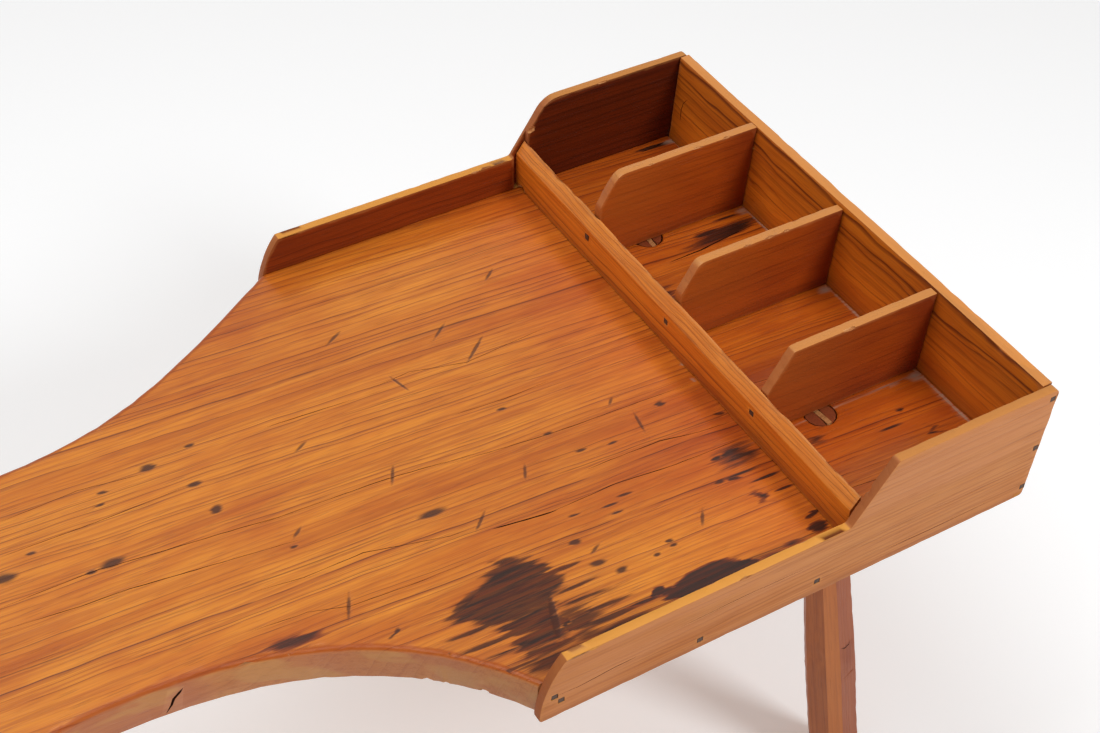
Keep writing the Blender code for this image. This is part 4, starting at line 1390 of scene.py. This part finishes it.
    def _grooves(self) -> list[tuple]:
        """List the cracks, the split around the near tenon and the knot's crack in the waist's edge.

        Returns:
            Their paths, widths, depths and seeds, and where the waist's edge looks.
        """
        grooves = []
        for number, (share, crack) in enumerate(self.CRACKS):
            path = [(x, y, self.top) for x, y in crack]
            grooves.append((path, share * self.crack_width, share * self.crack_depth, number))
        x, y = self.TENON
        turns = [math.radians(angle) for angle in self.RING_ANGLES]
        ring = [(x + self.RING_RADIUS * math.cos(turn), y + self.RING_RADIUS * math.sin(turn), self.top)
                for turn in turns]
        grooves.append((ring, self.ring_width, self.ring_depth, len(self.CRACKS)))
        grooves.append((self.KNOT, self.knot_width, self.knot_depth, len(self.CRACKS) + 1, self.KNOT_OUT))
        return grooves


@dataclass(frozen=True)
class BoardPine:
    """The finish of a side board: dark and varnished inside, with painted shade on the tray wall's inner
    face, worn pale outside.

    Attributes:
        side: The board's side.
        outward: Sign of the outward direction along Y.
        seed: Chooses the run of the grain.
        gloss: How it shines.
        step: Where the low fence becomes the tray's wall, along the bench.
        foot: Where the darker lower edge ends, in height.
    """

    side: str
    outward: float
    seed: float
    gloss: Gloss = Gloss(0.0, 0.3, 0.18)
    step: tuple[float, float] = (0.355, 0.385)
    foot: tuple[float, float] = (0.397, 0.406)

    OUTER = Wood(tone(198, 128, 70), tone(184, 108, 52), tone(156, 82, 38), tone(128, 62, 28),
                 spacing=0.009, wander=0.03, line_strength=0.4, fibre_strength=0.55)
    INNER = Wood(tone(140, 56, 12), tone(116, 42, 8), tone(88, 28, 6), tone(60, 20, 6),
                 spacing=0.011, wander=0.03, line_strength=0.4, fibre_strength=0.5)
    WALL_TONE_AND_PAINTED_SHADE = tone(150, 128, 150)
    FADE_AND_PAINTED_LIGHT = tone(204, 134, 86)
    DARK_FOOT = tone(140, 74, 40)
    TOP_EDGES = (tone(222, 154, 60), tone(190, 126, 60))
    FRONT_END = tone(144, 66, 36)
    RUBBED = tone(204, 134, 74)

    def make(self) -> bpy.types.Material:
        """Make the material.

        Returns:
            The material.
        """
        surface = Surface(f"{self.side}_board_pine", Grain(across=UP))
        graph = surface.graph
        outer = self.OUTER.draw(graph, surface.grained, self.seed)
        inner = self.INNER.draw(graph, surface.grained, self.seed)
        along, _, high = graph.axes(surface.place)
        walled = graph.step(along, *self.step)
        # The tray wall's inner face is darkened: partly its darker wood, partly painted shade for the
        # inside of the tray.
        indoors = graph.tint(inner.outputs["Color"], walled, 0.8, self.WALL_TONE_AND_PAINTED_SHADE, "MULTIPLY")
        # The outer face's paler patches are real fading.
        faded = graph.step(graph.stretched(surface.grained, 3.0, 30.0), 0.42, 0.60)
        outdoors = graph.tint(outer.outputs["Color"], faded, 0.5, self.FADE_AND_PAINTED_LIGHT)
        # Darker towards the outer face's lower edge.
        outdoors = graph.tint(outdoors, graph.invert(graph.step(high, *self.foot)), 0.5, self.DARK_FOOT)
        colour = graph.mix(surface.facing((0.0, self.outward, 0.0), -0.3, 0.5), indoors, outdoors)
        colour = graph.tint(colour, surface.facing(UP, 0.3, 0.8), 0.85, graph.mix(walled, *self.TOP_EDGES))
        colour = graph.tint(colour, surface.facing((-1.0, 0.0, 0.0), 0.15, 0.6), 0.8, self.FRONT_END)
        colour = graph.tint(colour, surface.rubbed(0.0028), 0.25, self.RUBBED)
        rough = graph.line(outer.outputs["Blotch"], 0.12, 0.5)
        return surface.close(colour, outer.outputs["Height"], rough, self.gloss)


@dataclass
class SideBoards:
    """The two side boards: low fences beside the work area, and the tray's walls.

    Attributes:
        fence_height: Height of the low part.
        step_drop: How far below the wall's top the chip in the step lies.
        split_depth: Depth of the splits.
        split_shift: How far the left board's splits lie from the right one's, along and in height.
        split_seeds: Seed of the first split in the right board and in the left one.
        wear: How the boards have worn.
        seed: Makes the first board wear in its own way.
    """

    fence_height: float = 0.059
    step_drop: float = 0.027
    split_depth: float = 0.0012
    split_shift: tuple[float, float] = (0.022, -0.008)
    split_seeds: tuple[int, int] = (60, 67)
    wear: Wear = Wear(rub=0.0006, reach=0.003, slices=(0.007, 0.0, 0.007))
    seed: int = 11

    SIDES = (("right", -1.0, 4.0), ("left", 1.0, 7.0))
    SPLITS = (
        (0.0010, ((0.1031, 0.4205), (0.1235, 0.4196), (0.1483, 0.4218), (0.1734, 0.4229))),
        (0.0008, ((0.205, 0.4330), (0.262, 0.4345), (0.318, 0.4335))),
        (0.0008, ((0.395, 0.4100), (0.450, 0.4085), (0.500, 0.4095))),
    )

    def build(self) -> None:
        """Wear and dress both boards."""
        for number, (side, outward, grain_seed) in enumerate(self.SIDES):
            work = Workpiece(f"{side}_side_board")
            cracks = crack_blades(self._grooves(work, outward, number))
            work.cut([cracks, chips(self._chips(work, outward))])
            work.slice(self.wear)
            work.wear(self.wear, self.seed + number)
            finish = BoardPine(side, outward, grain_seed).make()
            work.dress(f"worn_{side}_board", finish)

    def _grooves(self, work: Workpiece, outward: float, number: int) -> list[tuple]:
        """List the splits in a board's outer face.

        Args:
            work: The board.
            outward: Sign of the outward direction along Y.
            number: 0 for the first board and 1 for the other, whose splits are shifted.

        Returns:
            Their paths, widths, depths, seeds and the face's direction.
        """
        face = work.high.y if outward > 0.0 else work.low.y
        ahead, rise = (number * shift for shift in self.split_shift)
        first = self.split_seeds[number]
        return [([(x + ahead, face, z + rise) for x, z in split], width, self.split_depth, seed,
                 (0.0, outward, 0.0)) for seed, (width, split) in enumerate(self.SPLITS, first)]

    def _chips(self, work: Workpiece, outward: float) -> tuple[Chip, ...]:
        """Place the splinters that have come off a board's top arrises.

        Args:
            work: The board.
            outward: Sign of the outward direction along Y.

        Returns:
            The chips.
        """
        inner, outer = (work.low.y, work.high.y) if outward > 0.0 else (work.high.y, work.low.y)
        fence, wall = work.low.z + self.fence_height, work.high.z
        return (
            Chip((0.238, inner, fence), (0.004, 0.0012, 0.0010)),
            Chip((0.262, outer, fence), (0.006, 0.0014, 0.0016)),
            Chip((0.318, inner, fence), (0.005, 0.0014, 0.0012)),
            Chip((0.452, inner, wall), (0.007, 0.0016, 0.0014)),
            Chip((0.3745, inner, wall - self.step_drop), (0.006, 0.0022, 0.0035)),
        )


class TrayBoard(Enum):
    """The kinds of board in the tray."""

    PARTITION = "partition"
    END = "end_board"
    RAIL = "rail"


@dataclass(frozen=True)
class TrayPine:
    """The finish of a tray board: dark partitions, an orange end board and a brighter rail.

    Attributes:
        board: The kind of board.
        name: The material's name.
        grain: How its grain lies.
        seed: Chooses the run of the grain.
        gloss: How it shines.
        foot: Where the darker foot ends, in height.
        back: Where a partition darkens towards the end board.
        fore: Where a partition's browner front part ends.
        upper: Where the end board's upper part starts, in height.
    """

    board: TrayBoard
    name: str
    grain: Grain
    seed: float
    gloss: Gloss = Gloss(0.1, 0.3, 0.25)
    foot: tuple[float, float] = (0.430, 0.450)
    back: tuple[float, float] = (0.490, 0.530)
    fore: tuple[float, float] = (0.39, 0.48)
    upper: tuple[float, float] = (0.455, 0.490)

    WOODS = {
        TrayBoard.PARTITION: Wood(tone(170, 76, 17), tone(140, 54, 10), tone(114, 40, 8), tone(84, 27, 6),
                                  spacing=0.012, wander=0.035, line_strength=0.25, fibre_strength=0.4),
        TrayBoard.END: Wood(tone(230, 130, 32), tone(208, 102, 20), tone(160, 66, 12), tone(104, 38, 8),
                            spacing=0.009, wander=0.05, line_strength=0.45, fibre_strength=0.4),
        TrayBoard.RAIL: Wood(tone(232, 134, 36), tone(212, 104, 20), tone(174, 78, 16), tone(118, 48, 10),
                             spacing=0.007, wander=0.03, line_strength=0.5, fibre_strength=0.6),
    }
    TOP_EDGE = tone(202, 138, 66)
    RUBBED = tone(206, 134, 76)
    DARK_FOOT = tone(96, 36, 12)
    BACK = tone(110, 34, 10)
    FORE = tone(178, 94, 34)
    WAVES = tone(92, 36, 10)
    UPPER = tone(120, 50, 14)
    OUTSIDE = tone(186, 112, 62)

    def make(self) -> bpy.types.Material:
        """Make the material.

        Returns:
            The material.
        """
        surface = Surface(self.name, self.grain)
        graph = surface.graph
        face = self.WOODS[self.board].draw(graph, surface.grained, self.seed)
        upward = surface.facing(UP, 0.3, 0.9)
        worn = 0.4 if self.board is TrayBoard.RAIL else 0.75
        colour = graph.tint(face.outputs["Color"], upward, worn, self.TOP_EDGE)
        colour = graph.tint(colour, surface.rubbed(0.0028), 0.3, self.RUBBED)
        along, _, high = graph.axes(surface.place)
        # Darker towards the bottom, where the boards stand on the tray floor.
        colour = graph.tint(colour, graph.invert(graph.step(high, *self.foot)), 0.4, self.DARK_FOOT)
        upright = graph.invert(upward)
        if self.board is TrayBoard.PARTITION:
            colour = graph.tint(colour, graph.times(graph.step(along, *self.back), upright), 0.6, self.BACK)
            front = graph.times(graph.invert(graph.step(along, *self.fore)), upright)
            colour = graph.tint(colour, front, 0.4, self.FORE)
        if self.board is TrayBoard.END:
            upper = graph.times(graph.step(high, *self.upper), upright)
            colour = graph.tint(colour, graph.times(face.outputs["Lines"], upper), 0.8, self.WAVES)
            colour = graph.tint(colour, upper, 0.25, self.UPPER)
            colour = graph.tint(colour, surface.facing((1.0, 0.0, 0.0), 0.5, 0.9), 0.6, self.OUTSIDE)
        rough = graph.line(face.outputs["Blotch"], 0.12, 0.44)
        return surface.close(colour, face.outputs["Height"], rough, self.gloss)


@dataclass
class Tray:
    """The tray's end board, its partitions and its front rail.

    Attributes:
        partition_wear: How the partitions have worn.
        end_wear: How the end board has worn.
        rail_wear: How the rail has worn.
        chip_shift: How far the chips of one partition lie from the next one's.
        split_width: Width of the split in the end board.
        split_depth: Its depth.
        split_seed: Makes its course its own.
        end_thickness: From the end board's outer top arris to its inner one.
        partition_seed: Makes the first partition wear in its own way.
        end_seed: The same for the end board.
        rail_seed: The same for the rail.
    """

    partition_wear: Wear = Wear(rub=0.0009, reach=0.003, sway=0.0002, slices=(0.006, 0.0, 0.006))
    end_wear: Wear = Wear(rub=0.0009, reach=0.003, slices=(0.0, 0.007, 0.007))
    rail_wear: Wear = Wear(rub=0.0018, sway=0.0005, slices=(0.0, 0.005, 0.006))
    chip_shift: float = 0.013
    split_width: float = 0.0016
    split_depth: float = 0.002
    split_seed: int = 91
    end_thickness: float = 0.0095
    partition_seed: int = 21
    end_seed: int = 31
    rail_seed: int = 41

    CROSSWISE = Grain(along=(0.0, 1.0, 0.0), across=UP)
    SPLIT = ((0.5316, 0.2283, 0.4834), (0.5310, 0.2346, 0.4742), (0.5305, 0.2362, 0.4666),
             (0.5300, 0.2354, 0.4561))
    SPLIT_OUT = (-1.0, 0.0, 0.08)
    # Distance from the crest's back arris, place along the rail, half length and depth.
    CREST_CHIPS = (
        (0.002, -0.105, 0.009, 0.0020), (0.003, -0.155, 0.012, 0.0018), (0.002, -0.020, 0.007, 0.0016),
        (0.002, 0.085, 0.010, 0.0018), (0.003, -0.205, 0.006, 0.0016),
    )

    def build(self) -> None:
        """Wear and dress the tray's boards."""
        for number, place in enumerate(("right", "middle", "left")):
            self._build_partition(number, place)
        self._build_end()
        self._build_rail()

    def _build_partition(self, number: int, place: str) -> None:
        """Wear and dress one partition.

        Args:
            number: Its number from the right.
            place: Its place among the partitions.
        """
        work = Workpiece(f"partition_{place}")
        top, near, far = work.high.z, work.low.y, work.high.y
        shift = self.chip_shift * (number - 1)
        work.cut([chips((
            Chip((0.459 + shift, near, top), (0.005, 0.0022, 0.0013)),
            Chip((0.476 + 2.0 * shift, near, top), (0.0035, 0.0026, 0.0016)),
            Chip((0.490 - shift, far, top), (0.005, 0.0018, 0.0012)),
            Chip((0.436 - shift, near, top), (0.004, 0.0016, 0.0012)),
        ))])
        work.slice(self.partition_wear)
        work.wear(self.partition_wear, self.partition_seed + number)
        pine = TrayPine(TrayBoard.PARTITION, f"partition_{place}_pine", Grain(across=UP), 2.0 + number)
        work.dress(f"worn_partition_{place}", pine.make())

    def _build_end(self) -> None:
        """Wear and dress the end board."""
        work = Workpiece("tray_end_board")
        outer, inner, top = work.high.x, work.high.x - self.end_thickness, work.high.z
        split = (self.SPLIT, self.split_width, self.split_depth, self.split_seed, self.SPLIT_OUT)
        work.cut([crack_blades([split]), chips((
            Chip((inner, 0.046, top), (0.0022, 0.0035, 0.0020)),
            Chip((outer, 0.150, top), (0.0022, 0.009, 0.0016)),
            Chip((outer, -0.118, top), (0.0020, 0.006, 0.0014)),
            Chip((inner, -0.060, top), (0.0016, 0.005, 0.0014)),
        ))])
        work.slice(self.end_wear)
        work.wear(self.end_wear, self.end_seed)
        pine = TrayPine(TrayBoard.END, "end_board_pine", self.CROSSWISE, 9.0)
        work.dress("worn_end_board", pine.make())

    def _build_rail(self) -> None:
        """Wear and dress the front rail, which hands and tools have rubbed most."""
        work = Workpiece("tray_front_rail")
        broken = [Chip((work.high.x - inset, y, work.high.z), (0.003, half_length, depth))
                  for inset, y, half_length, depth in self.CREST_CHIPS]
        broken.append(Chip((work.low.x, 0.244, work.low.z), (0.003, 0.006, 0.005)))
        work.cut([chips(broken)])
        work.slice(self.rail_wear)
        work.wear(self.rail_wear, self.rail_seed)
        pine = TrayPine(TrayBoard.RAIL, "rail_pine", self.CROSSWISE, 5.0)
        work.dress("worn_front_rail", pine.make())


@dataclass(frozen=True)
class LegWood:
    """The finish of a leg: red-brown stain over shaved wood.

    Attributes:
        name: The leg.
        seed: Chooses the run of the grain.
        gloss: How it shines.
        forward_lean: Lean of the fibres towards the bench's end, in degrees.
        outward_lean: Their lean to the side, in degrees.
        tenon: Where the tenon's bare wood starts, in height.
    """

    name: str
    seed: float
    gloss: Gloss = Gloss(0.1, 0.3, 0.18, 0.0003)
    forward_lean: float = 5.0
    outward_lean: float = 8.4
    tenon: tuple[float, float] = (0.424, 0.429)

    STAINED = Wood(tone(188, 108, 52), tone(166, 84, 38), tone(128, 56, 24), tone(92, 38, 16),
                   spacing=0.006, tilt=0.3, line_strength=0.5, fibre_strength=0.7)
    REDDISH = tone(124, 55, 33)
    FADE_AND_PAINTED_LIGHT = tone(212, 134, 74)
    RUBBED = tone(176, 104, 70)
    TENON = tone(110, 42, 20)

    def make(self) -> bpy.types.Material:
        """Make the material.

        Returns:
            The material.
        """
        low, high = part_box(self.name)
        forward = math.copysign(1.0, low.x + high.x)
        outward = math.copysign(1.0, low.y + high.y)
        axis = (forward * -math.sin(math.radians(self.forward_lean)),
                outward * -math.sin(math.radians(self.outward_lean)), 1.0)
        surface = Surface(f"{self.name}_wood", Grain(along=axis, across=(1.0, 0.0, 0.0)))
        graph = surface.graph
        face = self.STAINED.draw(graph, surface.grained, self.seed)
        reddish = surface.facing((0.45 * forward, 0.9 * outward, 0.0), 0.5, 0.95)
        colour = graph.tint(face.outputs["Color"], reddish, 0.65, self.REDDISH)
        # Painted light: facets facing -X and -Y are painted paler, standing in for light falling on them.
        colour = graph.tint(colour, surface.facing((-0.6, -0.8, 0.0), 0.75, 0.97), 0.45, self.FADE_AND_PAINTED_LIGHT)
        colour = graph.tint(colour, surface.rubbed(0.0035), 0.3, self.RUBBED)
        _, _, height = graph.axes(surface.place)
        colour = graph.tint(colour, graph.step(height, *self.tenon), 0.7, self.TENON)
        rough = graph.line(face.outputs["Blotch"], 0.1, 0.42)
        return surface.close(colour, face.outputs["Height"], rough, self.gloss)


@dataclass(frozen=True)
class WedgeWood:
    """The finish of a wedge: bare pale wood.

    Attributes:
        name: The wedge.
        seed: Chooses the run of the grain.
        rough: Roughness.
    """

    name: str
    seed: float
    rough: float = 0.6

    PALE = Wood(tone(196, 138, 84), tone(172, 112, 60), tone(140, 84, 40), tone(110, 62, 28),
                spacing=0.003, wander=0.004, line_strength=0.5)

    def make(self) -> bpy.types.Material:
        """Make the material.

        Returns:
            The material.
        """
        surface = Surface(f"{self.name}_wood", Grain(along=UP, across=(0.0, 1.0, 0.0)))
        face = self.PALE.draw(surface.graph, surface.grained, self.seed)
        return surface.close(face.outputs["Color"], face.outputs["Height"], self.rough, Gloss())


def repaint(node: str, material: bpy.types.Material) -> None:
    """Give a construction piece, whose shape stays as it is, a finish.

    Args:
        node: The piece.
        material: The finish.
    """
    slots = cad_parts[node].data.materials
    slots.clear()
    slots.append(material)
    log.info("%s: dressed", node)


@dataclass
class Legs:
    """The four hand-shaved legs and their wedges.

    Attributes:
        wear: How the legs have worn.
        seed: Makes the legs wear in their own ways.
        knot_width: Width of the crack at the near leg's knot.
        knot_depth: Its depth.
        knot_seed: Makes its course its own.
    """

    wear: Wear = Wear(rub=0.0012, reach=0.003, sway=0.0005, slices=(0.0, 0.0, 0.008))
    seed: int = 50
    knot_width: float = 0.0022
    knot_depth: float = 0.0012
    knot_seed: int = 95

    PLACES = ("tray_right", "tray_left", "seat_right", "seat_left")
    KNOTTY = "tray_right"
    KNOT = ((0.4443, -0.1860, 0.1767), (0.4501, -0.1849, 0.1732), (0.4559, -0.1831, 0.1733),
            (0.4573, -0.1823, 0.1758))
    KNOT_OUT = (0.28, -0.94, 0.17)

    def build(self) -> None:
        """Wear and dress the legs, and dress the wedges."""
        for number, place in enumerate(self.PLACES, 1):
            name = f"leg_{place}"
            work = Workpiece(name)
            if place == self.KNOTTY:
                knot = (self.KNOT, self.knot_width, self.knot_depth, self.knot_seed, self.KNOT_OUT)
                work.cut([crack_blades([knot])])
            work.slice(self.wear)
            work.wear(self.wear, self.seed + number)
            work.dress(f"shaved_{name}", LegWood(name, float(number)).make())
            wedge = f"wedge_{place}"
            repaint(wedge, WedgeWood(wedge, float(number)).make())


@dataclass(frozen=True)
class RustyIron:
    """The nails' finish: dark iron, brown with rust.

    Attributes:
        grit: Grains of rust per metre.
        metallic: How much metal still shows.
    """

    grit: float = 900.0
    metallic: float = 0.2

    DARK = tone(54, 38, 30)
    RUST = tone(98, 62, 38)

    def make(self) -> bpy.types.Material:
        """Make the material.

        Returns:
            The material.
        """
        surface = Surface("rusty_iron", Grain())
        graph = surface.graph
        grit = graph.noise(surface.place, (self.grit,) * 3, 4.0, 0.65)
        colour = graph.mix(graph.step(grit, 0.4, 0.62), self.DARK, self.RUST)
        surface.shader.inputs["Metallic"].default_value = self.metallic
        return surface.close(colour, grit, graph.line(grit, 0.4, 0.4), Gloss())


@dataclass
class Nails:
    """The small cut nails.

    Attributes:
        prefix: What their names start with.
    """

    prefix: str = "nail_"

    def build(self) -> None:
        """Dress every nail."""
        iron = RustyIron().make()
        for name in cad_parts:
            if name.startswith(self.prefix):
                repaint(name, iron)


def seen_by_eye(graph: Graph) -> Socket:
    """Return 1 where a ray comes from the camera, a reflection or glass, and 0 where it lights.

    Args:
        graph: The material's or the world's graph.

    Returns:
        The mask's socket.
    """
    path = graph.add("ShaderNodeLightPath").outputs
    seen = graph.math("MAXIMUM", path["Is Camera Ray"], path["Is Transmission Ray"])
    return graph.math("MAXIMUM", seen, path["Is Glossy Ray"])


@dataclass
class Studio:
    """A pale floor, soft light and the camera.

    Attributes:
        image_width: Width of the photograph in pixels.
        focal_pixels: Focal length of the fitted camera in those pixels.
        sensor: Width of the camera's sensor in millimetres.
        place: The camera's place.
        heading: Its turn from the Y axis, in degrees.
        dip: How far it looks down, in degrees.
        roll: Its tilt to the side, in degrees.
        floor_half: Half the floor's width.
        floor_drop: How far the floor lies below the legs.
        fade: From where to where the floor turns into the pale distance, from the middle.
        aim: Where the lamps point.
        room_light: How strongly the room lights the bench.
    """

    image_width: float = 1100.0
    focal_pixels: float = 1821.13
    sensor: float = 36.0
    place: Triple = (-0.3011, -0.9148, 1.4625)
    heading: float = 31.05
    dip: float = 43.23
    roll: float = 1.05
    floor_half: float = 24.0
    floor_drop: float = 0.0005
    fade: tuple[float, float] = (1.6, 5.0)
    aim: Triple = (0.1, 0.0, 0.4)
    room_light: float = 0.40

    FLOOR = (0.88, 0.94, 0.97, 1.0)
    NEAR_GLOW = (0.203, 0.155, 0.131, 1.0)
    FAR_GLOW = (0.6, 0.6, 0.6, 1.0)
    WHITE = (1.0, 1.0, 1.0, 1.0)
    LAMPS = (("key", (1.3, -1.9, 2.3), 0.8, 38.0), ("top", (-0.6, 0.6, 3.0), 2.0, 37.0))

    def build(self) -> None:
        """Set up the floor, the light and the camera."""
        self._floor()
        self._light()
        self._camera()
        bpy.context.scene.view_settings.view_transform = "Standard"

    def _floor(self) -> None:
        """Lay the floor, which keeps the bench's shadow and looks pale without lighting it more."""
        mesh = bmesh.new()
        bmesh.ops.create_grid(mesh, x_segments=1, y_segments=1, size=self.floor_half)
        data = bpy.data.meshes.new("floor")
        mesh.to_mesh(data)
        mesh.free()
        floor = bpy.data.objects.new("floor", data)
        floor.location.z = -self.floor_drop
        bpy.context.scene.collection.objects.link(floor)
        material = bpy.data.materials.new("pale_floor")
        material.use_nodes = True
        graph = Graph(material.node_tree)
        shader = material.node_tree.nodes["Principled BSDF"]
        shader.inputs["Base Color"].default_value = self.FLOOR
        shader.inputs["Roughness"].default_value = 0.9
        place = graph.add("ShaderNodeTexCoord").outputs["Object"]
        far = graph.step(graph.vector("LENGTH", place), *self.fade)
        tint = graph.mix(far, self.NEAR_GLOW, self.FAR_GLOW)
        glow = graph.add("ShaderNodeEmission", {"Color": tint, "Strength": seen_by_eye(graph)})
        blend = graph.add("ShaderNodeAddShader", {0: shader.outputs[0], 1: glow.outputs[0]})
        graph.feed(material.node_tree.nodes["Material Output"].inputs["Surface"], blend.outputs[0])
        data.materials.append(material)

    def _light(self) -> None:
        """Hang the lamps and set the world, which looks white and lights softly."""
        for name, place, size, power in self.LAMPS:
            lamp = bpy.data.lights.new(name, "AREA")
            lamp.shape = "DISK"
            lamp.size = size
            lamp.energy = power
            holder = bpy.data.objects.new(name, lamp)
            holder.location = place
            holder.rotation_euler = (Vector(self.aim) - Vector(place)).to_track_quat("-Z", "Y").to_euler()
            bpy.context.scene.collection.objects.link(holder)
        world = bpy.data.worlds.new("pale_room")
        bpy.context.scene.world = world
        world.use_nodes = True
        graph = Graph(world.node_tree)
        background = world.node_tree.nodes["Background"].inputs
        background["Color"].default_value = self.WHITE
        strength = graph.line(seen_by_eye(graph), 1.0 - self.room_light, self.room_light)
        graph.feed(background["Strength"], strength)

    def _camera(self) -> None:
        """Place the camera at the photograph's angle."""
        heading, dip, roll = (math.radians(angle) for angle in (self.heading, self.dip, self.roll))
        ahead = Vector((math.sin(heading) * math.cos(dip), math.cos(heading) * math.cos(dip),
                        -math.sin(dip)))
        level = Vector((math.cos(heading), -math.sin(heading), 0.0))
        rise = level.cross(ahead)
        right = level * math.cos(roll) + rise * math.sin(roll)
        up = rise * math.cos(roll) - level * math.sin(roll)
        data = bpy.data.cameras.new("camera")
        data.sensor_width = self.sensor
        data.lens = self.sensor * self.focal_pixels / self.image_width
        camera = bpy.data.objects.new("camera", data)
        bpy.context.scene.collection.objects.link(camera)
        turned = Matrix((right, up, -ahead)).transposed().to_4x4()
        camera.matrix_world = Matrix.Translation(self.place) @ turned
        bpy.context.scene.camera = camera


def main() -> None:
    """Build every part of the bench and the studio, and log each piece as it is made."""
    logging.basicConfig(level=logging.INFO, format="%(message)s")
    for cut in Cut:
        cut_material(cut)
    for part in (Plank(), SideBoards(), Tray(), Legs(), Nails(), Studio()):
        part.build()
        log.info("%s done", type(part).__name__)


if __name__ == "__main__":
    main()
